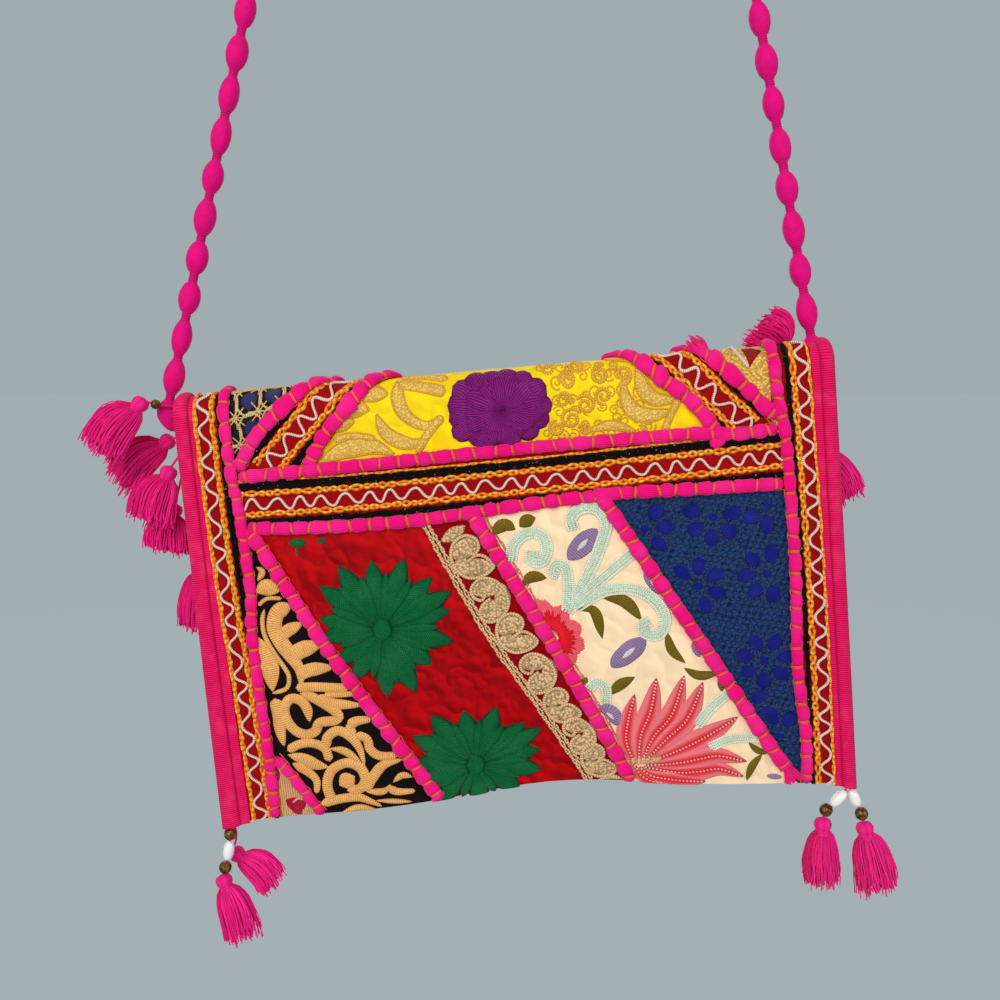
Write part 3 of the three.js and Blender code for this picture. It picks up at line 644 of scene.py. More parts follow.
class BagColours(bpy.types.PropertyGroup):
    """Colours of the cloths and threads."""

    yarn: colour_value("Couched yarn", "Pink yarn laid over the seams", 255, 6, 124)
    # Painted highlight: a paler pink blended over patches of the couched yarn and into a few tassel threads,
    # in place of sheen.
    yarn_bloom: colour_value("Yarn bloom", "Paler tone on the yarn's crowns", 255, 46, 150)
    couching: colour_value("Couching stitch", "Orange thread that ties the yarn down", 255, 112, 58)
    tape: colour_value("Binding tape", "Ribbed tape round the edges", 255, 16, 100)
    bead_cloth: colour_value("Strap cloth", "Cloth over the strap's beads", 244, 0, 128)
    tassel: colour_value("Tassel yarn", "Yarn of the tassels", 252, 6, 128)
    back: colour_value("Back cloth", "Plain cloth of the pouch and the flap's inside", 205, 18, 98)
    trim: colour_value("Trim ground", "Dark red cloth under the zigzag", 140, 2, 6)
    black: colour_value("Black strip", "Strips beside the braids", 13, 6, 8)
    zigzag: colour_value("Zigzag", "Pale cord sewn in waves", 255, 216, 200)
    braid: colour_value("Braid", "Orange chain stitch", 250, 128, 18)
    # Painted highlight: a paler, golden copy of the braid's orange for one of its two strands.
    braid_highlight: colour_value("Pale braid", "Golden strand of the chain stitch", 250, 172, 54)
    yellow: colour_value("Yellow silk", "Ground of the middle patch under the fold", 255, 214, 16)
    zari: colour_value("Zari", "Gold thread", 240, 190, 88)
    purple: colour_value("Purple flower", "Satin stitch of the large flower", 136, 14, 116)
    velvet: colour_value("Velvet", "Black ground of the scrollwork", 10, 4, 5)
    tan: colour_value("Scrollwork", "Tan satin stitch on the velvet", 246, 174, 98)
    red: colour_value("Red silk", "Ground of the red patch", 186, 6, 14)
    green: colour_value("Green flowers", "Satin stitch of the two flowers", 0, 106, 54)
    zari_beige: colour_value("Paisley zari", "Beige gold thread of the paisleys", 232, 190, 140)
    cream: colour_value("Cream silk", "Ground of the cream patch", 251, 215, 174)
    mint: colour_value("Mint thread", "Silvery mint thread of the scrolls", 212, 226, 196)
    lavender: colour_value("Lavender leaves", "Lavender satin stitch", 154, 122, 160)
    olive: colour_value("Olive leaves", "Olive satin stitch", 122, 98, 14)
    coral: colour_value("Coral petals", "Edges of the coral flower's petals", 255, 114, 120)
    coral_core: colour_value("Coral core", "Deep red beside the petals' middle line", 238, 24, 50)
    poppy: colour_value("Half flower", "Red of the half flower beside the cord", 238, 20, 38)
    navy: colour_value("Navy brocade", "Dark ground of the blue patch", 5, 12, 40)
    teal: colour_value("Teal thread", "Lighter thread in the brocade", 28, 60, 112)
    royal: colour_value("Royal petals", "Petals of the brocade's flowers", 14, 26, 126)
    brass: colour_value("Brass", "Old brass beads", 156, 108, 62)
    milk: colour_value("White beads", "Milky glass beads", 252, 244, 240)
    floor: colour_value("Floor", "Pale floor of the stage", 196, 210, 215)


def colour(name):
    """One of the bag's colours as a plain tuple."""
    return tuple(getattr(bpy.context.scene.bag_colours, name))


def millimetres(name):
    """One of the bag's sizes in millimetres."""
    return getattr(bpy.context.scene.bag_sizes, name) / MM


# Cloth pieces


def flap_slab(cloth, xv, high, low):
    """A sheet on the flap over a grid of (x, v), from lift low to lift high, with (x, v) as its threads."""
    top = on_flap(xv[..., 0], xv[..., 1], high)
    bottom = on_flap(xv[..., 0], xv[..., 1], low)
    cloth.slab(top, bottom, xv)


def ruled(left, right, step=2.0):
    """A grid between two lines of stops (x, v), each from low to high: straight rows at even shares of v."""
    left, right = np.asarray(left, float), np.asarray(right, float)
    share = np.linspace(0, 1, max(4, round(np.ptp(left[:, 1]) / step) + 1))
    ends = []
    for line in (left, right):
        v = line[0, 1] + share * (line[-1, 1] - line[0, 1])
        ends.append(np.stack([np.interp(v, line[:, 1], line[:, 0]), v], -1))
    width = np.abs(ends[1][:, 0] - ends[0][:, 0]).max()
    across = np.linspace(0, 1, max(4, round(width / step) + 1))[None, :, None]
    return ends[0][:, None] * (1 - across) + ends[1][:, None] * across


def puffed(grid, amount, ripple):
    """Lift of a sewn patch: full in the middle, flat near its seams, with ripples as sines of the place."""
    rows, columns = (np.linspace(-1, 1, n) for n in grid.shape[:2])
    crown = (1 - rows[:, None] ** 8) * (1 - columns[None] ** 8)
    x, v = grid[..., 0], grid[..., 1]
    waves = np.sin(0.31 * x + 0.17 * v) + np.sin(0.12 * x - 0.37 * v + 1.0) + np.sin(0.53 * v + 0.41 * x)
    return PATCH_TOP - 0.3 + crown * (0.3 + amount + ripple * waves / 3)


PATCHES = {
    # left and right edge of each piece, as stops (x, v) from low to high
    "patch_net": (((-111.8, 60.6), (-112, PATCH_END)), ((-111, 60.6), (-49, PATCH_END))),
    "patch_yellow": (((-79.5, 60.4), (-28, PATCH_END)), ((86.5, 61.3), (30, PATCH_END))),
    "patch_gold": (((110.2, 61.6), (58, PATCH_END)), ((110.7, 61.6), (109.5, PATCH_END))),
    "patch_scroll": (
        ((-89.2, PATCH_LOW), (-110.3, -57.5), (-111.2, 36.4)), ((-38, PATCH_LOW), (-106.8, 36.4))),
    "patch_corner": (((-110, PATCH_LOW), (-110.3, -58)), ((-89.2, PATCH_LOW), (-110, -58))),
    "patch_red": (((-38, PATCH_LOW), (-106.8, 36.4)), ((25.8, PATCH_LOW), (-36.3, 37.2))),
    "patch_cream": (((41.7, PATCH_LOW), (-15.1, 37.4)), ((110, PATCH_LOW), (37.7, 38))),
    "patch_blue": (((110, PATCH_LOW), (37.7, 38)), ((113.6, PATCH_LOW), (111.1, 38.8))),
    "trim_top_left": (((-111.4, 60.2), (-49, PATCH_END)), ((-79.5, 60.4), (-28, PATCH_END))),
    "trim_top_right": (((86.5, 61.3), (30, PATCH_END)), ((110.6, 61.4), (58, PATCH_END))),
    "trim_band": (((-111.2, 36.4), (-111.4, 60.2)), ((111.1, 38.8), (110.6, 61.4))),
    "trim_paisley": (((25.8, PATCH_LOW), (-36.3, 37.2)), ((41.7, PATCH_LOW), (-15.1, 37.4))),
    "trim_left": (((-124.5, PATCH_LOW), (-124.5, PATCH_END)), ((-110, PATCH_LOW), (-112, PATCH_END))),
    "trim_right": (((113.6, PATCH_LOW), (109.5, PATCH_END)), ((124.5, PATCH_LOW), (124.5, PATCH_END))),
}


def patch_piece(node, finish, slot, puff=0.3, ripple=0.12):
    """One ground of the patchwork in place of its solid: a ruled sheet with a sewn puff."""
    cloth = Cloth()
    grid = ruled(*PATCHES[node])
    flap_slab(cloth, grid, puffed(grid, puff, ripple), np.full(grid.shape[:2], 0.4))
    cloth.made(node + "_cloth", [finish], slot, [node])


# Stitched shapes


def ramp(value, end):
    """A straight rise from 0 to 1 that is over at the end, and level after it."""
    return np.clip(value / end, 0, 1)


# Share of the full width at each share of a shape's length
PROFILES = {
    "leaf": lambda t: np.sin(np.pi * t) ** 0.75,
    "petal": lambda t: t**0.7 * (1 - t) ** 0.4 / 0.486,
    "band": lambda t: np.sqrt(ramp(np.minimum(t, 1 - t), 0.07)),
    "comma": lambda t: ramp(t, 0.2) ** 0.7 * (1 - 0.5 * t**1.5) * ramp(1 - t, 0.05) ** 0.5,
    "oval": lambda t: np.sin(np.pi * t) ** 0.5,
    "ray": lambda t: ramp(t, 0.6) ** 0.7 * (1 - np.maximum(t / 0.4 - 1.5, 0) ** 2.4),
    "spear": lambda t: ramp(t, 0.5) ** 0.6 * np.clip(1 - t**3.2, 0, 1) ** 0.75,
    "wedge": lambda t: ramp(t, 0.06) ** 0.5 * (1 - t),
    "finger": lambda t: ramp(t, 0.1) ** 0.5 * ramp(1 - t, 0.45) ** 0.5,
}


def stitched(cloth, points, half, profile, rise=0.7, base=STITCH_BASE, finish=0, step=0.9, sides=9):
    """A raised stitched shape: a curve on the flap carries a half-width that follows the profile, and a dome
    of height rise. Thread coordinates are the length along it and the share across times the half-width."""
    line, length = smooth_line(points, step)
    share = length / length[-1]
    width = half * np.maximum(PROFILES[profile](np.clip(share, FINE, 1 - FINE)), 0.05)
    angle = np.linspace(0, np.pi, sides)
    across = width[:, None] * np.cos(angle)
    dome = rise * np.sqrt(np.clip(width / half, 0, 1))[:, None] + 0.5
    lift = base - 0.5 + dome * np.sin(angle) ** 0.7
    xv = line[:, None] + across[..., None] * sideways(line)[:, None]
    v = np.clip(xv[..., 1], PATCH_LOW - 0.2, PATCH_END)
    threads = np.stack(np.broadcast_arrays(length[:, None], half * np.cos(angle)), -1)
    cloth.tubes(on_flap(xv[..., 0], v, lift)[None], threads[None], finish)


def flower(cloth, centre, tips, half, rise):
    """A flower: a pointed petal to each tip, a second whorl between them and a round heart."""
    centre, tips = np.asarray(centre, float), np.asarray(tips, float)
    for k, tip in enumerate(tips):
        base = STITCH_BASE + 0.35 * (k % 2)
        stitched(cloth, [centre + 0.06 * (tip - centre), tip], half, "ray", rise=rise, base=base, sides=13)
    for tip in (tips + np.roll(tips, -1, 0)) / 2:
        ends = [centre + share * (tip - centre) for share in (0.08, 0.82)]
        stitched(cloth, ends, 0.56 * half, "ray", rise=rise, base=STITCH_BASE + 0.5, finish=1)
    stitched(cloth, [centre - (0, 5), centre + (0, 5)], 4.6, "oval", rise=0.8, base=STITCH_BASE + 1.1)


def spiral(centre, radius, turns, start, inner, hand):
    """Points of a spiral that winds in from a radius to a share of it."""
    t = np.linspace(0, 1, round(10 * turns) + 2)
    reach = radius * (1 - (1 - inner) * t)
    angle = start + hand * 2 * np.pi * turns * t
    return np.stack([centre[0] + reach * np.cos(angle), centre[1] + reach * np.sin(angle)], -1)


def dashes(cloth, points, pitch, half, lift, finish, share=0.62):
    """Short stitches at a pitch along a line."""
    line, length = smooth_line(points, 0.2)
    for start in np.arange(0.4, length[-1] - pitch, pitch):
        stops = np.array([start, start + share * pitch])
        ends = np.stack([np.interp(stops, length, line[:, i]) for i in (0, 1)], -1)
        stitched(cloth, ends, half, "leaf", rise=0.35, base=lift, finish=finish, step=0.5, sides=5)


def edged(cloth, points, half, profile, radius, finish):
    """A thread round a stitched shape: up one edge and back down the other."""
    line, length = smooth_line(points, 0.8)
    width = half * np.maximum(PROFILES[profile](np.clip(length / length[-1], FINE, 1 - FINE)), 0.1)
    side = width[:, None] * sideways(line)
    both = np.vstack([line + side, (line - side)[::-1]])
    flap_tube(cloth, both, STITCH_BASE + 0.2, radius, finish=finish, sides=6)


def flap_tube(cloth, line, lift, radius, finish=0, sides=7, wide=1.0):
    """A round thread that lies on the flap: a circle carried along a line of (x, v) at a lift."""
    angle = np.linspace(0, 2 * np.pi, sides, endpoint=False)
    length = length_so_far(line)
    xv = line[:, None] + (wide * radius * np.cos(angle))[None, :, None] * sideways(line)[:, None]
    height = np.broadcast_to(lift, length.shape)[:, None] + radius * np.sin(angle)
    v = np.clip(xv[..., 1], PATCH_LOW - 0.2, PATCH_END)
    threads = np.stack(np.broadcast_arrays(length[:, None], radius * angle), -1)
    cloth.tubes(on_flap(xv[..., 0], v, height)[None], threads[None], finish)


def braid(cloth, axis, offset, width, finishes=(0, 1), strand=0.66, lift=1.75, pace=1.0):
    """A chain stitch beside a line: strands swing across it by turns and pass over each other."""
    line, length = smooth_line(axis, 0.8)
    strand = min(strand, 0.33 * width)
    turns = 2 * np.pi * pace * length / millimetres("braid_period") + 0.8 * np.sin(0.29 * length + offset)
    for k, finish in enumerate(finishes):
        turn = turns + 2 * np.pi * k / len(finishes)
        drift = 0.22 * np.sin(0.37 * length + 2 * k + offset)
        swing = offset + drift + (width / 2 - strand) * np.sin(turn)
        path = line + swing[:, None] * sideways(line)
        flap_tube(cloth, path, lift + 0.3 * np.cos(2 * turn), strand, finish=finish, sides=5)


def zigzag(cloth, axis, reach, pace, radius=0.55, lift=1.95):
    """A cord sewn in waves: a line swings to both sides as a sine whose pace and reach drift a little."""
    line, length = smooth_line(axis, 0.5)
    turns = 2 * np.pi * pace * length / millimetres("zigzag_period") + 0.5 * np.sin(0.21 * length)
    swing = reach * (1 + 0.12 * np.sin(0.33 * length)) * (np.sin(turns) + 0.06 * np.sin(3 * turns + 0.6))
    flap_tube(cloth, line + swing[:, None] * sideways(line), lift, radius, sides=6)


# Operators, and the tables that they sew from

POUCH_TAPE = [
    # how far out from the cloth's edge, place from the front wall at -1 to the back wall at 1, lift
    (-7, -1, 1.2), (-5, -1, 1.3), (-2.5, -1, 1.3), (0, -1, 1.2), (1.6, -0.95, 0.9), (2.6, -0.6, 0.4),
    (3, 0, 0), (2.6, 0.6, 0.4), (1.6, 0.95, 0.9), (0, 1, 1.2), (-2.5, 1, 1.3), (-5, 1, 1.3),
    (-7, 1, 1.2), (-7, 1, 0.3), (-3, 1, 0.3), (-3, -1, 0.3), (-7, -1, 0.3),
]


class BAG_OT_pouch(bpy.types.Operator):
    """Sews the pouch: two walls that meet at the sides and the bottom, with tape round its seams"""

    bl_idname = "bag.pouch"
    bl_label = "Pouch"

    def wall(self, x, share, side, inset, swell):
        """A wall's point: the height is a share from the floor to the rim, the depth half of the gap between
        the front and the back, narrowed by swell near the floor."""
        floor = lower_edge(x) + POUCH_FLOOR + (LINING_FLOOR if inset else 0)
        z = floor + share * (BACK_SEAM - RIM_DROP - floor)
        edge = smooth_step(np.abs(x), SIDE_START, SIDE_END) * SIDE_NARROWING
        front = -depth_at(x, z, FRONT_BELLY) + FLAP_THICK + FLAP_GAP + edge + inset
        back = depth_at(x, z, BACK_BELLY) - inset
        ease = 0.35 * middleness(x) * np.sin(0.09 * x + 3 * share) * np.sin(np.pi * share) * (side > 0)
        depth = (front + back) / 2 + side * swell * (back - front) / 2 + ease
        return np.stack(np.broadcast_arrays(x, depth, z), -1)

    def execute(self, context):
        cloth = Cloth()
        low = [0, 0.006, 0.015, 0.03, 0.05]
        share = np.concatenate([low, np.linspace(0.08, 1, 48)])[:, None]
        swell = np.interp(share, low, [0.5, 0.7, 0.85, 0.95, 1])
        outer = np.linspace(-CLOTH_HALF, CLOTH_HALF, WALL_COLUMNS)[None]
        inner = np.linspace(-CLOTH_HALF + LINING_SIDE, CLOTH_HALF - LINING_SIDE, WALL_COLUMNS)[None]
        faces = []
        for side in (-1, 1):
            lining = self.wall(inner, share, side, POUCH_WALL, swell)[::-1]
            faces.append(np.concatenate([self.wall(outer, share, side, 0, swell), lining]))
        rings = np.concatenate([faces[0], faces[1][:, ::-1]], 1)
        threads = rings[..., [0, 2]]
        cloth.tubes(hung(rings)[None], threads[None], flat=True)
        back_cloth = woven_finish("back_cloth", colour("back"), 1.0)
        pouch = cloth.made("pouch_cloth", [back_cloth], "back_cloth", ["pouch"])
        tape = tape_finish("pouch_tape", colour("tape"), millimetres("rib_pitch"))
        for side, name in ((-1, "left"), (1, "right")):
            self.binding(side, name, tape)
        return {"FINISHED"}

    def binding(self, side, name, tape):
        """Tape round a side seam: an outline of lips and a rounded roll, carried up the seam."""
        share = np.linspace(0.015, 1, 110)[:, None]
        swell = np.interp(share, [0, 0.015, 0.05], [0.5, 0.85, 1])
        out, wall, lift = np.array(POUCH_TAPE, float).T[:, None]
        x = side * (CLOTH_HALF + np.minimum(out, 0))
        near, far = (self.wall(x + 0 * share, share, s, 0, swell) for s in (-1, 1))
        middle = (near + far) / 2 + wall[..., None] * (far - near) / 2
        y = middle[..., 1] + np.sign(wall) * lift
        length = SEAM_LENGTH * share + 0 * out
        points = np.stack([side * (CLOTH_HALF + out + 0 * share), y, middle[..., 2]], -1)
        cloth = Cloth()
        cloth.tubes(hung(points)[None], np.stack([length, out + 0 * share], -1)[None])
        cloth.made(f"pouch_tape_{name}", [tape], "tape", [f"pouch_binding_{name}"])


FLAP_TAPE = [
    # how far out from the cloth's edge, lift over the flap's face
    (-7, 0.9), (-3.4, 1.1), (-3.1, 2.5), (-1.6, 3.2), (0.8, 2.9), (2.6, 1.4), (3.4, -0.8), (1.8, -3.1),
    (-7, -3.1), (-7, -2.3), (0.3, -2.3), (0.3, 0.3), (-7, 0.3),
]
FLANGES = {
    # stops of v, and how much wider the tape is there
    "left": ((FLAP_LOW, 60), (3, 0.5)),
    "right": ((FLAP_LOW, 60), (-0.6, -0.6)),
}


class BAG_OT_flap(bpy.types.Operator):
    """Folds the flap over the pouch and binds its side edges with ribbed tape"""

    bl_idname = "bag.flap"
    bl_label = "Flap"

    def execute(self, context):
        cloth = Cloth()
        x, v = np.meshgrid(np.linspace(-CLOTH_HALF, CLOTH_HALF, 64), np.linspace(FLAP_LOW, FLAP_END, 108))
        flap_slab(cloth, np.stack([x, v], -1), np.zeros(x.shape), np.full(x.shape, -FLAP_THICK))
        lining = woven_finish("flap_lining", colour("back"), 1.0)
        cloth.made("flap_cloth", [lining], "back_cloth", ["flap"])
        tape = tape_finish("flap_tape", colour("tape"), millimetres("rib_pitch"), 2.9)
        for side, name in ((-1, "left"), (1, "right")):
            self.binding(side, name, tape)
        return {"FINISHED"}

    def binding(self, side, name, tape):
        """Tape round the flap's edge: its outline, with corners cut once, carried along v."""
        outline = np.array(FLAP_TAPE)
        ahead = np.roll(outline, -1, 0)
        outline = np.stack([0.8 * outline + 0.2 * ahead, 0.2 * outline + 0.8 * ahead], 1).reshape(-1, 2)
        v = np.linspace(FLAP_LOW - 0.6, FLAP_END, 160)
        flange = np.interp(-outline[:, 0], [-0.5, 3.2, 7], [0, 0.8, 1]) * (outline[:, 1] > 0.1)
        wider = np.interp(v, *FLANGES[name])[:, None] * flange
        x = side * (CLOTH_HALF + outline[:, 0] - wider)
        points = on_flap(x, v[:, None] + 0 * x, outline[:, 1] + 0.75 * np.clip(wider, 0, 1))
        around = length_so_far(outline)
        threads = np.stack(np.broadcast_arrays(v[:, None], around[None]), -1)
        cloth = Cloth()
        cloth.tubes(points[None], threads[None])
        cloth.made(f"flap_tape_{name}", [tape], "tape", [f"flap_binding_{name}"])


class BAG_OT_grounds(bpy.types.Operator):
    """Lays the grounds of the patchwork on the flap"""

    bl_idname = "bag.grounds"
    bl_label = "Patch grounds"

    def execute(self, context):
        net = velvet_finish("net_ground", tone(14, 18, 16), tone(38, 44, 40))
        patch_piece("patch_net", net, "net", puff=0.1)
        yellow = silk_finish("yellow_silk", colour("yellow"), rough=0.5, folds=0.5, crease=12, deep=0.82)
        patch_piece("patch_yellow", yellow, "yellow_silk")
        gold = satin_finish(
            "gold_ground", colour("zari"), 1.3, line="pebble", fleck=0.5, rough=0.5, deep=0.4, metal=0.25,
        )
        patch_piece("patch_gold", gold, "gold_zari", puff=0.1)
        velvet = velvet_finish("velvet", colour("velvet"), tone(24, 12, 14))
        patch_piece("patch_scroll", velvet, "scroll_velvet")
        corner = satin_finish("corner_ground", tone(222, 164, 112), 1.0, fleck=0.4, rough=0.55, deep=0.5)
        patch_piece("patch_corner", corner, "corner_silk", puff=0.1)
        red = silk_finish("red_silk", colour("red"), rough=0.6, folds=1.1, crease=12, deep=0.46)
        patch_piece("patch_red", red, "red_silk", puff=0.5, ripple=0.5)
        cream = silk_finish("cream_silk", colour("cream"), rough=0.55, folds=0.4, crease=13, deep=0.88)
        patch_piece("patch_cream", cream, "cream_silk", puff=0.4)
        brocade = brocade_finish("brocade", colour("navy"), colour("teal"), tone(56, 76, 104))
        patch_piece("patch_blue", brocade, "blue_brocade", puff=0.4, ripple=0.3)
        trim = velvet_finish("trim_ground", colour("trim"), tone(162, 8, 12))
        for name in ("top_left", "top_right", "band", "left", "right"):
            patch_piece(f"trim_{name}", trim, "trim", puff=0.05, ripple=0.0)
        border = velvet_finish("paisley_ground", tone(150, 0, 8), tone(118, 0, 6))
        patch_piece("trim_paisley", border, "paisley_zari", puff=0.1)
        return {"FINISHED"}


TRIM_LINES = {
    # middle line, reach and pace of the zigzag, then offset and width of each braid and black strip
    "left": {
        "axis": [
            (-116.2, PATCH_LOW), (-116.8, -65), (-118, -20), (-119.4, 3), (-121.2, 55), (-121.4, PATCH_END)],
        "reach": 2.3, "pace": 0.84,
        "braids": [(-3.4, 2.0), (3.7, 2.8)], "black": [(6.6, 2.8)],
    },
    "right": {
        "axis": [(122.2, PATCH_LOW), (122.4, -20), (121.6, 55), (120.4, PATCH_END)],
        "reach": 2.2, "pace": 0.9,
        "braids": [(-3.5, 3.0), (2.9, 1.4)], "black": [(-5.9, 2.4)],
    },
    "band": {
        "axis": [(-111, 47.4), (-60, 46.4), (0, 46), (30, 46.6), (65, 48.2), (111, 49.6)],
        "reach": 2.3, "pace": 1.0,
        "braids": [(-9.9, 1.3), (-4.6, 3.0), (4.1, 3.0)], "black": [(-7.7, 4.2), (7.4, 3.4)],
    },
    "top_left": {
        "axis": [(-98.3, 61), (-74, 85), (-41, PATCH_END)],
        "reach": 3.0, "pace": 1.0,
        "braids": [(-4.6, 3.2), (4.6, 3.2)], "black": [(-8.1, 4.2), (8.1, 4.2)],
    },
    "top_right": {
        "axis": [(99, 62), (74.5, 89), (48, PATCH_END)],
        "reach": 2.8, "pace": 1.0,
        "braids": [(-4.5, 3.2), (4.5, 3.2)], "black": [(-7.9, 4.0), (8.0, 4.0)],
    },
}


class BAG_OT_trims(bpy.types.Operator):
    """Sews zigzags, orange braids and black strips on the trims"""

    bl_idname = "bag.trims"
    bl_label = "Trims"

    def execute(self, context):
        strips, braids, waves = Cloth(), Cloth(), Cloth()
        for trim in TRIM_LINES.values():
            zigzag(waves, trim["axis"], trim["reach"], trim["pace"])
            for offset, width in trim["braids"]:
                braid(braids, trim["axis"], offset, width)
            for offset, width in trim["black"]:
                braid(strips, trim["axis"], offset, width, finishes=(0, 0), strand=0.3 * width, lift=1.6)
        orange = satin_finish("braid_orange", colour("braid"), 2.4, fleck=0.35, deep=0.58)
        # The second strand of each braid is the paler copy of the orange, as painted highlight.
        lit_strand = satin_finish("braid_golden", colour("braid_highlight"), 2.4, fleck=0.35, deep=0.58)
        # The pale tone is painted glints on the black strips.
        black = specked_finish("black_strip", colour("black"), tone(150, 140, 130), 0.7)
        pale = satin_finish("zigzag", colour("zigzag"), 0.8, deep=0.62)
        strips.made("black_strips", [black], "trim")
        braids.made("orange_braids", [orange, lit_strand], "trim")
        waves.made("zigzags", [pale], "trim")
        return {"FINISHED"}


CORDS = {
    # middle line of each cord on the flap
    "cord_left": [
        (-110, -89.6), (-109.6, -60), (-110.4, -10), (-108.8, 12), (-110.2, 45), (-112.2, 66),
        (-112.2, 116.5)],
    "cord_right": [
        (113.6, -89.6), (114.2, -68), (112.2, -38), (113.4, 5), (112.9, 55), (110.5, 77), (109, 116.5)],
    "cord_upper": [(-109.4, 59.2), (-60, 59.8), (25, 60.8), (78, 61.4), (92, 60), (110.2, 60.8)],
    "cord_lower": [(-107.6, 37.8), (-85, 36), (-40, 34.6), (-10, 35.5), (30, 37.6), (50, 38.7), (111, 38.4)],
    "cord_top_1": [(-109.6, 62.2), (-106.6, 66), (-96.7, 78.7), (-78.3, 92.1), (-50, 116.5)],
    "cord_top_2": [(-80.4, 60.4), (-78.2, 63.6), (-69.5, 76.2), (-53.3, 90.7), (-29, 116.5)],
    "cord_top_3": [(86.4, 61.6), (83.4, 65.4), (74.3, 77.2), (58, 90.5), (31, 116.5)],
    "cord_top_4": [(109.6, 65), (106, 69.2), (96.3, 80.4), (84.1, 91.5), (59, 116.5)],
    "cord_scroll": [(-107.4, 37.6), (-103.4, 30.6), (-80, -13.5), (-60, -49.7), (-38.2, -89.6)],
    "cord_paisley": [(-15, 36), (-12.6, 31), (0.5, 3.3), (21.1, -42.2), (41.6, -89.6)],
    "cord_cream": [(35.6, 41.4), (39.4, 34.8), (55, 6.8), (82, -40.8), (98.7, -71.1), (106.3, -83.4)],
    "cord_corner": [(-106.8, -62), (-103.6, -66.4), (-98.3, -74.6), (-89.3, -89.6)],
}
CORD_HALF = 3.1
CORD_HALVES = {"cord_left": 2.5, "cord_right": 2.5, "cord_upper": 2.9, "cord_lower": 2.9, "cord_corner": 2.4}
CORD_TALL = 0.58
CORD_BASE = 1.3
LOOSE_ENDS = [
    # base, tip, spread and rise of the frayed yarn at the ends of two cords
    ((106, -81.6), (109.2, -89.2), 8.5, 0), ((84.5, 92), (80, 97.5), 9, 7),
]


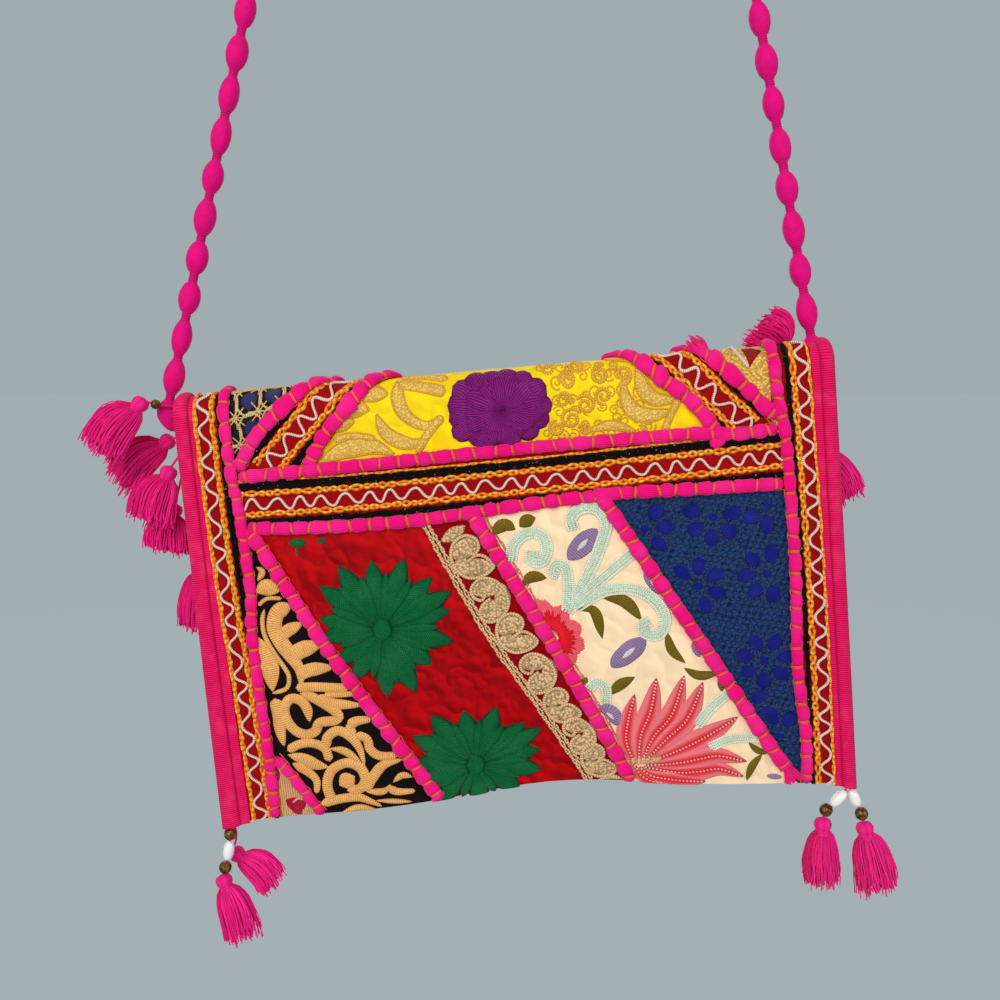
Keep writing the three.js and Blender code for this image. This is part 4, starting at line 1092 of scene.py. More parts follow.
class BAG_OT_cords(bpy.types.Operator):
    """Couches pink yarn over the seams with orange stitches"""

    bl_idname = "bag.cords"
    bl_label = "Couched cords"

    def execute(self, context):
        yarn = yarn_finish("couched_yarn", colour("yarn"), colour("yarn_bloom"))
        stitches, rng = Cloth(), np.random.default_rng(4)
        for node, stops in CORDS.items():
            self.cord(node, stops, yarn, stitches, rng)
        orange = satin_finish("couching_thread", colour("couching"), 0.7, rough=0.55, deep=0.7)
        stitches.made("couching_stitches", [orange], "yarn")
        loose = Cloth()
        stitched(loose, [(82.6, 55.6), (85.6, 57.6), (89.4, 58.4)], 2.7, "oval", rise=1.7, base=2.2)
        for base, tip, spread, rise in LOOSE_ENDS:
            self.tuft(loose, np.array(base), np.array(tip), spread, rise, rng)
        loose.made("loose_yarn_ends", [yarn], "yarn")
        return {"FINISHED"}

    def tuft(self, cloth, base, tip, spread, rise, rng):
        """Frayed ends: threads that leave one place on the flap and end side by side, at uneven lengths and
        heights."""
        ahead = tip - base
        aside = unit(np.array([ahead[1], -ahead[0]]))
        for k in np.linspace(-0.5, 0.5, 24):
            end = base + ahead * rng.uniform(0.72, 1.0) + spread * (k + rng.uniform(-0.06, 0.06)) * aside
            bend = base + 0.5 * ahead + 0.7 * spread * k * aside
            line = smooth_line([base + 0.3 * spread * k * aside, bend, end], 0.6)[0]
            lift = np.linspace(2.6, 2.0 + rise * rng.uniform(0.5, 1.0), len(line))
            flap_tube(cloth, line, lift + rng.uniform(-0.3, 0.5), 0.38, sides=6)

    def cord(self, node, stops, yarn, stitches, rng):
        """A bundle of yarn: a flat oval carried along the seam, pinched in at each stitch, between two
        threads that link the stitches."""
        half = CORD_HALVES.get(node, CORD_HALF)
        line, length = smooth_line(stops, 0.8)
        ties = max(2, round(length[-1] / millimetres("couching_pitch")))
        places = (np.arange(ties) + 0.5 + rng.uniform(-0.16, 0.16, ties)) * length[-1] / ties
        pinch = np.exp(-((np.abs(length[:, None] - places).min(1) / 1.1) ** 2))
        ends = np.sqrt(np.clip(np.minimum(length, length[-1] - length) / 2.5, 0.05, 1))
        full = (1 + 0.06 * np.sin(length * 0.7 + rng.uniform(0, 6))) * ends
        angle = np.linspace(0, 2 * np.pi, 20, endpoint=False) - np.pi / 2
        wide = half * (full * (1 - 0.3 * pinch))[:, None]
        tall = CORD_TALL * half * (full * (1 - 0.34 * pinch))[:, None]
        clear = 0.3 * smooth_step(line[:, 1], FRONT_TOP - 4, FRONT_TOP + 4)
        lift = CORD_BASE + clear[:, None] + tall * (1 + np.sin(angle))
        side = sideways(line)
        xv = line[:, None] + (wide * np.cos(angle))[..., None] * side[:, None]
        threads = np.stack(np.broadcast_arrays(length[:, None], half * (angle + np.pi / 2)), -1)
        cloth = Cloth()
        v = np.clip(xv[..., 1], FLAP_LOW - 0.4, FLAP_END - 0.3)
        cloth.tubes(on_flap(xv[..., 0], v, lift)[None], threads[None])
        cloth.made(node + "_yarn", [yarn], "yarn", [node])
        phase = 2 * np.pi * np.interp(length, places, np.arange(ties))
        for edge in (-1, 1):
            swing = edge * (0.7 * half + 0.55 * np.cos(phase))
            thread = line + swing[:, None] * side
            flap_tube(stitches, thread[::2], 1.75 + clear[::2], 0.26, sides=4)
        arc = np.linspace(-0.12 * np.pi, 1.12 * np.pi, 9)
        for place in places:
            centre = np.array([np.interp(place, length, line[:, i]) for i in (0, 1)])
            k = min(np.searchsorted(length, place), len(line) - 1)
            along = np.array([-side[k, 1], side[k, 0]])
            slant = rng.uniform(-0.8, 0.8) * np.cos(arc)
            over = centre + (0.76 * half * np.cos(arc))[:, None] * side[k] + slant[:, None] * along
            height = CORD_BASE + clear[k] + 0.7 * CORD_TALL * half * (1 + np.sin(arc))
            self.tie(stitches, over, np.maximum(height, CORD_BASE), along)

    def tie(self, cloth, line, lift, along):
        """A stitch over a cord: an oval thread carried over the bundle from one side to the other."""
        sides = 5
        middle = flap_point(line[:, 0], line[:, 1], lift)
        ahead = flap_point(line[:, 0] + 0.3 * along[0], line[:, 1] + 0.3 * along[1], lift)
        run = unit(np.gradient(middle, axis=0))
        across = unit(ahead - middle)
        ring = turn_round(0.62 * across, 0.42 * np.cross(run, across), sides)
        length = np.linspace(0, 9, len(line))
        angle = np.linspace(0, 2 * np.pi, sides, endpoint=False)
        threads = np.stack(np.broadcast_arrays(length[:, None], angle), -1)
        cloth.tubes(hung(middle[:, None] + ring)[None], threads[None])


# Motifs, charted on the flap as (x, v)

ZARI_BANDS = [
    # line, half width, profile
    ([(-75, 63), (-64, 67), (-53, 67.5), (-44, 63.5)], 3.8, "leaf"),
    ([(-68, 71.5), (-60, 72.5), (-51, 70.5)], 1.3, "band"),
    ([(-67, 75), (-63, 78), (-59, 78.5)], 2.5, "leaf"),
    ([(-62, 80.5), (-57, 83), (-52.5, 82.5)], 2.5, "leaf"),
    ([(-55, 86), (-50, 87.8), (-44.5, 86.8)], 2.8, "leaf"),
    ([(-49.5, 80.5), (-47, 73.5), (-42.5, 69.2), (-36, 67), (-30.5, 68.6)], 2.9, "leaf"),
    ([(-40.5, 92), (-40, 83.5), (-36.5, 77.8), (-30, 74), (-22.6, 76)], 2.8, "comma"),
    ([(-23, 77.5), (-29, 71), (-34.5, 63.5)], 1.5, "band"),
    ([(-40, 90.5), (-31, 88.6), (-21, 86)], 1.9, "band"),
    ([(-39, 94.5), (-30, 93.5), (-20, 91)], 1.6, "band"),
    ([(56, 90), (58, 81.5), (62.5, 77), (71, 76)], 3.1, "leaf"),
    ([(50, 85), (50.8, 77.5), (54.5, 72), (61, 70.4), (68.5, 72)], 3.3, "leaf"),
    ([(71.5, 76.5), (67.5, 69), (65, 63.5)], 1.2, "band"),
    ([(35, 66), (44, 67.6), (53.5, 64.5)], 2.0, "leaf"),
    ([(44, 96), (52, 94), (57, 92)], 1.5, "band"),
]
ZARI_CURLS = [
    # centre, radius, start of the turn, hand
    ((28.5, 71.5), 4.6, 0.4, 1), ((34.5, 77), 4.2, 2.6, -1), ((41.5, 87.5), 3.7, 1.0, 1),
    ((28, 86.3), 3.5, 3.4, -1), ((50.5, 86.8), 3.4, 4.0, 1), ((21, 91.5), 3.2, 0.2, 1),
    ((42, 80), 3.6, 5.0, -1), ((22.5, 68), 3.4, 1.4, 1), ((31.5, 92), 3.6, 2.0, -1),
    ((26, 79.6), 3.2, 5.5, 1), ((33.5, 66.6), 2.6, 3.0, -1),
]
VELVET_SCROLLS = [
    # line, half width, profile
    ([(-105.5, 21), (-103.2, 18.8), (-105.6, 15)], 1.3, "leaf"),
    ([(-107, 10.5), (-102, 12), (-96.5, 10)], 3.4, "leaf"),
    ([(-106.5, 4.5), (-102.5, 7.2), (-96, 7)], 0.75, "band"),
    ([(-104, 3), (-105.5, -2.5), (-105, -9), (-102, -16), (-98.5, -22.5), (-96.8, -27), (-98.5, -32),
      (-105, -33.8)], 0.85, "band"),
    ([(-108, -9), (-105.6, -17), (-104.6, -24), (-104.6, -33)], 4.0, "leaf"),
    ([(-92.5, 4), (-98.5, 1), (-100.6, -5), (-98.8, -11), (-95.5, -17), (-92, -24), (-92, -32)],
     3.1, "finger"),
    ([(-99, -10), (-95, -7), (-88.5, -4.2)], 2.5, "finger"),
    ([(-95.5, -18.5), (-89.5, -15.5), (-81, -13.5)], 3.3, "finger"),
    ([(-93.5, -26.5), (-86.5, -24.5), (-77.5, -24.2)], 2.7, "finger"),
    ([(-94.5, -32), (-85, -32.3), (-72, -34)], 1.9, "band"),
    ([(-83, -36), (-76, -36.4), (-69, -36.4)], 1.1, "band"),
    ([(-86, -36.5), (-79.5, -40), (-67, -42)], 2.1, "finger"),
    ([(-93, -34.6), (-88, -36.6), (-82.5, -40.5), (-77.8, -45), (-79.5, -47.6), (-86, -48.2), (-88.4, -51.8),
      (-92.6, -53), (-97, -50.8), (-100, -46), (-100.4, -40.5), (-97.5, -36.8), (-93.5, -37.5),
      (-90.8, -41.5), (-90.3, -47.5)], 2.0, "band"),
    ([(-104, -36), (-103.2, -44), (-103.4, -51), (-102.6, -57.5)], 2.6, "finger"),
    ([(-101.5, -59.8), (-96, -57.2), (-90, -57.2), (-85.2, -60.2), (-83.8, -66)], 1.8, "band"),
    ([(-101.5, -61.5), (-95.5, -63.8), (-90, -66.8), (-84.5, -68.5)], 2.6, "leaf"),
    ([(-100, -65.5), (-94.5, -69.2), (-90.6, -74), (-91.2, -80)], 2.1, "comma"),
    ([(-84.4, -60.5), (-83.6, -55.2), (-79, -52.4), (-74, -55.2), (-70.6, -61), (-69.2, -69)],
     2.0, "finger"),
    ([(-83.5, -60), (-77, -61.8), (-70.6, -67.5)], 1.6, "leaf"),
    ([(-74.5, -51), (-70.5, -48.8), (-64, -48.6)], 2.3, "comma"),
    ([(-75, -50), (-71.5, -55.5)], 1.9, "leaf"),
    ([(-71.5, -54.6), (-67, -57.2), (-66, -62), (-62.4, -65.4), (-55, -66.6)], 1.8, "band"),
    ([(-84.5, -85), (-86.2, -77), (-83.6, -70.2), (-77, -67.2), (-71.4, -69.8), (-69.6, -75.4),
      (-72.4, -79.4), (-78, -79.6)], 2.0, "band"),
    ([(-81, -77), (-74, -73.6)], 3.6, "leaf"),
    ([(-70.5, -80.8), (-66.4, -75), (-61.2, -69.8), (-53, -68.4)], 2.1, "finger"),
    ([(-70, -81), (-62.5, -81.8), (-59, -79)], 1.4, "leaf"),
    ([(-60.5, -79.5), (-57, -82.6), (-49, -83.6)], 1.7, "comma"),
    ([(-58, -78.2), (-53.8, -75.6), (-49.5, -77)], 1.4, "leaf"),
    ([(-90, -85), (-82, -83.4), (-74, -83.2), (-68.4, -85.8), (-64, -88.5)], 1.8, "finger"),
    ([(-81, -89.4), (-74, -88), (-67, -89.4)], 1.2, "leaf"),
    ([(-66, -85.6), (-58, -87), (-51, -88.2)], 0.9, "leaf"),
]
GREEN_FLOWERS = [
    # centre, tips
    ((-55, -9.6), [
        (-79.6, 11), (-70.8, 19), (-57, 19.8), (-43.2, 19.4), (-32.6, 10), (-25.4, 3), (-26.4, -5),
        (-26.4, -19), (-36, -28), (-44, -38.8), (-56, -39.8), (-69, -30.2), (-75, -22.4), (-80.6, -10.4),
        (-81, -3),
    ]),
    ((-22.4, -76), [
        (-47.8, -58.2), (-39, -49.8), (-25.2, -50.2), (-11.6, -50.8), (-0.4, -60), (6.2, -63.6), (5.2, -73),
        (4.8, -82.8), (-5, -91), (-22, -96), (-40, -90), (-47, -79), (-48.6, -70),
    ]),
]
OLIVE_LEAVES = [
    # line, half width
    ([(-7, 25), (-2, 28.4), (2.6, 26)], 3.0), ([(4.4, 27), (7.6, 29.4), (11, 30.4)], 3.0),
    ([(3.6, 1.6), (7.6, 5), (13.6, 4)], 2.7), ([(24.5, -10.5), (31.5, -11.5), (34, -24)], 2.4),
    ([(35, -5.5), (44, -7.6), (50.4, -16)], 2.9), ([(60, -21), (61.6, -29), (66.8, -35)], 2.2),
    ([(66, -37), (72, -40.4), (80, -39.6)], 2.2), ([(35, -49.5), (40, -44.5), (46, -41)], 2.5),
    ([(80.3, -41.4), (81, -48)], 1.4), ([(96, -76), (91.8, -81), (89, -87.6)], 1.7),
    ([(26.5, -41), (24.5, -44.5)], 1.4), ([(90.6, -70.6), (94.4, -74.4), (99, -75.6)], 1.5),
]
LAVENDER_LEAVES = [
    # line, half width
    ([(22.6, 11.2), (29, 17.4), (35.2, 24)], 4.8), ([(36.6, -36.8), (44.2, -30), (51.4, -23.6)], 4.9),
    ([(30.4, -55), (35.6, -57.6), (38.4, -64)], 3.6), ([(52.6, 4.6), (59, -5)], 2.4),
    ([(70, -26), (72.8, -32.5)], 1.6), ([(97.4, -85.8), (103.6, -86.6)], 1.2),
]
MINT_SCROLLS = [
    # line, half width
    ([(20.5, -11.5), (31, 6.2), (37, 19), (39, 27), (35.5, 32.4), (29, 32.8), (25.2, 29), (26, 24)], 2.7),
    ([(20.6, -10), (22, 0.2), (21.5, 8), (17.6, 9.6), (16, 6.4), (18.4, 5)], 2.3),
    ([(22.5, -9.5), (34.6, 1.7), (49, 13.4)], 2.5),
    ([(24, -9.5), (36.3, -2.8), (48.4, -2.6), (56.6, -8), (59.6, -15.4), (56.6, -22), (51.4, -21.4),
      (51, -17.8), (53.6, -16)], 2.8),
    ([(-0.4, 12.8), (1.8, 20), (7.6, 24), (13, 22.2), (14.6, 16.4), (12, 11.4), (8.2, 12.4), (8.6, 16.4)],
     2.7),
    ([(27, -46.4), (30, -43.4), (33.8, -46), (33.4, -53)], 2.2),
    ([(70, -62.4), (76, -54.8), (84, -47.8)], 2.3),
    ([(74.4, -72.4), (84, -68.6), (97, -68.6)], 2.2),
]
CORAL_PETALS = [
    # middle line of each petal, its half-width
    ([(44, -82.4), (40.6, -71), (42.2, -60), (45.4, -49)], 4.6),
    ([(45, -81.4), (46.6, -68), (51.4, -56), (54.6, -41.6)], 5.4),
    ([(46, -80.8), (52, -68), (60, -57.6), (66, -40.4)], 5.8),
    ([(47, -80.4), (57, -69), (66, -59.6), (73.4, -43.4)], 5.6),
    ([(48, -80.6), (61, -74.4), (72, -68.4), (86.8, -59.2)], 6.0),
    ([(48, -81.6), (61, -79.8), (70, -77.6), (78, -76.2), (89.4, -79)], 5.2),
    ([(47, -82.4), (61, -84.2), (70, -83.4), (78, -82.2), (87.8, -85.8)], 5.0),
    ([(45.4, -82.6), (50, -86.2), (60, -87.6), (72, -88)], 4.6),
    ([(44, -82.6), (45.6, -86.4), (50, -88.8), (56, -89.4)], 3.6),
]
POPPY_CENTRE = (13.6, -22)
POPPY_REACH = [
    # angle in degrees, reach of the fringe
    (-74, 16.5), (-45, 15.4), (0, 13.2), (45, 12.6), (80, 15.6), (108, 18),
]
PAISLEY_UP = {
    # filled lobes, their rim, and copies as shift and size
    "lobes": [([(-24, 17), (-18.5, 20.6), (-12.8, 21)], 5.2), ([(-24, 14.5), (-17, 11.8), (-7, 11.4)], 4.4)],
    "rim": [(-18, 18.8), (-14.6, 17.6), (-12.6, 20.5), (-13.8, 24.2), (-18, 26), (-22.6, 23.6), (-24.4, 18),
            (-22.6, 11.6), (-17.6, 7.4), (-11, 8), (-7, 11.6), (-10.4, 15.8), (-14, 16.8), (-18, 14.4)],
    "copies": [(0, 0, 0.98), (15.3, -35.3, 0.93), (31.2, -70, 0.84), (44.4, -96.4, 0.8)],
}
PAISLEY_DOWN = {
    "lobes": [
        ([(-17.4, 1.5), (-11.5, 2.4), (-4.6, 2.5)], 4.6),
        ([(-4.8, 4), (-5, -4.4), (-8.5, -9.4), (-13.8, -10.2)], 4.1),
        ([(-13.6, -10), (-11.4, -6.4), (-8, -3.6)], 3.4),
    ],
    "rim": [(-11.4, 0.6), (-13.4, -2.6), (-16.8, -0.8), (-17.4, 3.2), (-14.6, 6.4), (-10.6, 7), (-6, 4.4),
            (-2.8, -1), (-2.6, -6.6), (-5.6, -11.2), (-10, -13), (-14, -11), (-14.4, -7), (-12, -3.8),
            (-9.6, -2.4)],
    "copies": [(0, 0, 0.96), (16.8, -35, 0.91), (31.6, -65.4, 0.83)],
}
PAISLEY_CHAIN = [(-33.6, 33), (-27, 17), (-18, -4), (-9, -24), (3, -47), (13, -67), (24.2, -89.2)]
BROCADE_FLOWERS = [
    (81.5, 26.5), (102, 1.5), (73.5, -2), (54, 23), (99, -35), (90.5, -57), (103, -68), (104, 30),
]


class BAG_OT_upper_embroidery(bpy.types.Operator):
    """Stitches the patches under the fold: zari and a purple flower on yellow, a net and a gold corner"""

    bl_idname = "bag.upper_embroidery"
    bl_label = "Upper embroidery"

    def execute(self, context):
        zari = satin_finish("yellow_zari", colour("zari"), 1.1, line="pebble", fleck=0.4, deep=0.62)
        cloth, rng = Cloth(), np.random.default_rng(8)
        for line, half, profile in ZARI_BANDS:
            stitched(cloth, line, half, profile, rise=0.6)
            edged(cloth, line, half, profile, 0.36, finish=1)
        for centre, radius, start, hand in ZARI_CURLS:
            stitched(cloth, spiral(centre, radius, 1.6, start, 0.2, hand), 0.8, "band", finish=1)
        for x in np.arange(19, 64, 5.2):
            for v in np.arange(64.5, 92, 5.4):
                place = np.array((x, v)) + rng.uniform(-1.6, 1.6, 2)
                edge_right = np.interp(v, (61.3, PATCH_END), (86.5, 30)) - 9
                if np.hypot((place[0] + 0.8) / 23, (place[1] - 78) / 18) > 1 and place[0] < edge_right:
                    radius, start = rng.uniform(2, 3), rng.uniform(0, 6)
                    curl = spiral(place, radius, 1.3, start, 0.25, rng.choice((-1, 1)))
                    flap_tube(cloth, smooth_line(curl, 0.5)[0], 1.75, 0.34, finish=1, sides=5)
        edge = satin_finish("zari_edge", tone(228, 168, 58), 1.0, fleck=0.4, deep=0.7)
        cloth.made("yellow_zari_stitches", [zari, edge], "gold_zari")
        self.purple_flower()
        self.net()
        self.gold_corner()
        return {"FINISHED"}

    def purple_flower(self):
        """A round flower: two whorls of petals, as rays of an oval, and a fan of small ones at its foot."""
        cloth, rng = Cloth(), np.random.default_rng(5)
        centre, heart, foot = np.array((-0.8, 78.2)), np.array((1.6, 77.4)), np.array((-1.5, 62.6))
        whorls = ((15, centre, 1.0, 5.2, 1.6), (13, heart, 0.76, 4.4, 2.2))
        for whorl, (count, middle, reach, half, base) in enumerate(whorls):
            for k in range(count):
                angle = 2 * np.pi * (k + 0.5 * whorl) / count
                oval = np.array((21.8 * np.cos(angle), 16.6 * np.sin(angle)))
                ray = oval * reach * rng.uniform(0.92, 1.05)
                ends = [middle + 0.05 * ray, middle + ray]
                stitched(cloth, ends, half, "petal", rise=1.0, base=base + 0.2 * (k % 2))
        for k, angle in enumerate(np.radians(np.linspace(25, 155, 6))):
            ray = 10 * np.array((math.cos(angle), math.sin(angle)))
            ends = [foot + 0.1 * ray, foot + ray]
            stitched(cloth, ends, 3.4, "petal", rise=1.0, base=2.9 + 0.2 * (k % 2))
        satin = satin_finish(
            "purple_satin", colour("purple"), 1.0, line="across", fleck=0.45, rough=0.5, deep=0.2, edge=4.8,
        )
        cloth.made("purple_flower", [satin], "yellow_silk")

    def net(self):
        """Gold threads in rings that cross each other, round navy ovals, with stars of stitches between."""
        cloth = Cloth()
        turn = np.linspace(0, 2 * np.pi, 41)
        for i in range(-1, 6):
            for j in range(-3, 3):
                middle = np.array((-102.0 + 9.8 * i - 0.8 * j, 90 + 1.6 * i + 11 * j))
                self.inside(cloth, middle + np.stack([5.3 * np.cos(turn), 5.9 * np.sin(turn)], -1), 0.4)
                for angle in np.arange(4) * np.pi / 4:
                    ray = 4.6 * np.array((math.cos(angle), math.sin(angle)))
                    self.inside(cloth, middle + (4.5, -4.7) + np.linspace(-1, 1, 9)[:, None] * ray, 0.26)
                if middle[0] > -108 and middle[1] > self.seam(middle[0]) + 5 and middle[1] < PATCH_END - 4:
                    ends = [middle - (0, 4), middle + (0, 4)]
                    stitched(cloth, ends, 3.6, "oval", rise=0.3, base=1.55, finish=1)
        gold = satin_finish("net_gold", tone(232, 194, 132), 0.8, fleck=0.4, rough=0.55, metal=0.1)
        oval = satin_finish("net_navy", tone(50, 46, 92), 0.9, deep=0.7)
        cloth.made("net_threads", [gold, oval], "net")

    def seam(self, x):
        """The height of the net's lower seam."""
        return np.interp(x, (-111, -49), (60.6, PATCH_END))

    def inside(self, cloth, line, radius):
        """The runs of a thread that lie inside the net's patch."""
        x, v = line.T
        keep = (x > -110.5) & (v > self.seam(x) + 3) & (v < PATCH_END - 1)
        for run in np.split(np.arange(len(line)), np.nonzero(np.diff(keep))[0] + 1):
            if keep[run[0]] and len(run) > 3:
                flap_tube(cloth, line[run], 1.95, radius, sides=6)

    def gold_corner(self):
        """A red wedge with a pale edge, and a red leaf, on the gold corner."""
        cloth = Cloth()
        stitched(cloth, [(102.6, 93.8), (100.6, 86)], 4.8, "wedge", rise=0.3, base=1.7)
        flap_tube(cloth, smooth_line([(95, 97.5), (96.2, 91.5), (99.8, 86)], 0.6)[0], 2.0, 0.7, finish=1)
        stitched(cloth, [(109, 66), (109.2, 78)], 1.2, "leaf", rise=0.3, base=1.7)
        red = satin_finish("corner_red", tone(150, 10, 24), 1.0, rough=0.5)
        pale = satin_finish("corner_edge", tone(246, 212, 190), 0.8)
        cloth.made("gold_corner_stitches", [red, pale], "gold_zari")


class BAG_OT_lower_embroidery(bpy.types.Operator):
    """Stitches the front's patches: scrollwork, green flowers, paisleys, the cream patch and the brocade"""

    bl_idname = "bag.lower_embroidery"
    bl_label = "Lower embroidery"

    def execute(self, context):
        self.scrollwork()
        self.green_flowers()
        self.paisleys()
        self.scrolls_and_leaves()
        self.coral()
        self.poppy()
        self.brocade()
        return {"FINISHED"}

    def scrollwork(self):
        """Tan scrolls on the velvet, and the pink shapes of the corner beside it."""
        cloth = Cloth()
        for line, half, profile in VELVET_SCROLLS:
            stitched(cloth, line, 1.12 * half + 0.1, profile, rise=0.9)
        tan = satin_finish("tan_satin", colour("tan"), 0.95, fleck=0.6, deep=0.52)
        cloth.made("velvet_scrolls", [tan], "scroll_velvet")
        corner = Cloth()
        stitched(corner, [(-105, -82), (-100, -84.5), (-96, -83)], 3.4, "leaf", rise=0.4)
        stitched(corner, [(-102, -84), (-99, -89)], 2.4, "finger", rise=0.4)
        stitched(corner, [(-108, -66), (-107, -73)], 1.6, "leaf", rise=0.4)
        stitched(
            corner, [(-102, -83.4), (-99.5, -81.6), (-97, -82.4)], 0.5, "band", rise=0.4, base=2.0, finish=1,
        )
        pink = satin_finish("corner_pink", tone(176, 8, 50), 1.0, rough=0.5)
        pale = satin_finish("corner_pale", tone(240, 176, 150), 0.8)
        corner.made("corner_stitches", [pink, pale], "corner_silk")

    def green_flowers(self):
        """Two large flowers on the red silk, with two small leaves and a stem above them."""
        cloth = Cloth()
        for centre, tips in GREEN_FLOWERS:
            flower(cloth, centre, tips, 4.4, 1.6)
        stitched(cloth, [(-91, 30), (-83, 29.4)], 2.0, "leaf", rise=0.6)
        stitched(cloth, [(-79, 30.4), (-75, 29.6)], 1.2, "leaf", rise=0.6)
        stitched(cloth, [(-88, 28), (-87.6, 24), (-86, 21)], 0.45, "band", rise=0.4)
        # Each edge is the half-width past which the green satin gets painted shade between petals.
        greens = [
            satin_finish(name, colour("green"), 0.95, line="slant", fleck=0.5, deep=0.28, edge=edge)
            for name, edge in (("green_satin", 4.3), ("green_heart", 2.4))
        ]
        cloth.made("green_flowers", greens, "red_silk")

    def paisleys(self):
        """Zari paisleys that turn up and down along the border, between a double chain and a thin edge."""
        cloth = Cloth()
        for motif in (PAISLEY_UP, PAISLEY_DOWN):
            middle = np.mean(motif["rim"], 0)
            for right, up, size in motif["copies"]:
                shift = middle * (1 - size) + (right, up)
                for line, half in motif["lobes"]:
                    lobe = np.array(line) * size + shift
                    stitched(
                        cloth, lobe, 0.94 * half * size, "oval", rise=0.55, finish=2, step=0.7, sides=13,
                    )
                rim = smooth_line(np.array(motif["rim"]) * size + shift, 0.5)[0]
                flap_tube(cloth, rim, 2.25, 0.62, wide=1.1)
        stitched(cloth, [(-28, 24.5), (-23.5, 26.4), (-17.5, 30)], 3.0, "leaf", rise=0.8, finish=2)
        stitched(cloth, [(28, -89.2), (33, -87.6), (38, -88.6)], 1.3, "leaf", rise=0.6)
        for offset in (-0.95, 0.95):
            braid(cloth, PAISLEY_CHAIN, offset, 1.9, finishes=(0, 0), strand=0.44, lift=1.9, pace=1.3)
        braid(cloth, CORDS["cord_paisley"], -3.9, 1.2, finishes=(1, 1), strand=0.32, lift=1.7, pace=1.3)
        beige = satin_finish(
            "paisley_zari", colour("zari_beige"), 1.1, fleck=0.5, rough=0.55, deep=0.45, metal=0.1,
        )
        rose = satin_finish("paisley_edge", tone(226, 140, 118), 0.9, deep=0.5)
        dim = darker(colour("zari_beige"), 0.95)
        filled = satin_finish(
            "paisley_fill", dim, 1.2, line="pebble", fleck=0.5, rough=0.55, deep=0.26, metal=0.1,
        )
        cloth.made("paisley_stitches", [beige, rose, filled], "paisley_zari")

    def scrolls_and_leaves(self):
        """Silver mint scrolls in four rows of thread, and olive and lavender leaves with a pale slit."""
        scrolls, leaves = Cloth(), Cloth()
        for line, half in MINT_SCROLLS:
            stitched(scrolls, line, half, "band", rise=0.6, base=1.7)
            path = smooth_line(line, 0.7)[0]
            for share in (-0.78, -0.26, 0.26, 0.78):
                row = path + share * half * sideways(path)
                lift, finish = 2.35 - 0.35 * abs(share), 1 + (abs(share) < 0.5)
                flap_tube(scrolls, row, lift, 0.48, finish=finish, sides=6)
        for line, half in OLIVE_LEAVES:
            stitched(leaves, line, half, "leaf", rise=0.8, base=1.75)
        for line, half in LAVENDER_LEAVES:
            stitched(leaves, line, half, "oval", base=1.65, finish=1)
            if half > 2:
                middle, reach = np.mean(line, 0), 0.19 * (np.array(line[0]) - line[-1])
                ends = [middle + reach, middle - reach]
                stitched(leaves, ends, 0.26 * half, "leaf", rise=0.3, base=2.3, finish=2)
        ground = satin_finish(
            "mint_ground", colour("mint"), 0.9, line="pebble", fleck=0.5, rough=0.5, deep=0.65, metal=0.05,
        )
        silver = satin_finish(
            "silver_thread", tone(246, 240, 218), 0.9, fleck=0.5, rough=0.5, deep=0.62, metal=0.05,
        )
        mint = satin_finish(
            "mint_thread", tone(222, 234, 206), 0.9, fleck=0.5, rough=0.5, deep=0.65, metal=0.05,
        )
        scrolls.made("mint_scrolls", [ground, silver, mint], "cream_silk")
        olive = satin_finish("olive_satin", colour("olive"), 0.8, fleck=0.5, deep=0.5)
        lavender = satin_finish("lavender_satin", colour("lavender"), 1.0, fleck=0.45, deep=0.55)
        pale = satin_finish("leaf_heart", tone(236, 220, 214), 0.8, deep=0.7)
        leaves.made("leaf_stitches", [olive, lavender, pale], "cream_silk")

    def coral(self):
        """A fan of long petals from one base, each with a row of pale dashes down its middle."""
        cloth = Cloth()
        for k, (line, half) in enumerate(CORAL_PETALS):
            stitched(cloth, line, half, "spear", rise=0.9, base=1.7 + 0.25 * (k % 2), step=0.8, sides=15)
            dashes(cloth, line, pitch=1.5, half=0.7, lift=2.5 + 0.25 * (k % 2), finish=1)
        for share in np.linspace(0, 1, 6):
            ends = [(42 + 10 * share, -82 + 1.5 * share), (44 + 10 * share, -78 + share)]
            stitched(cloth, ends, 1.2, "leaf", rise=0.9, base=2.0, finish=2)
        satin = petal_finish("coral_satin", colour("coral"), colour("coral_core"))
        dash = satin_finish("petal_dash", tone(255, 204, 176), 0.7, deep=0.7)
        beige = satin_finish("petal_base", tone(226, 178, 122), 0.9, line="pebble", fleck=0.5, deep=0.5)
        cloth.made("coral_flower", [satin, dash, beige], "cream_silk")

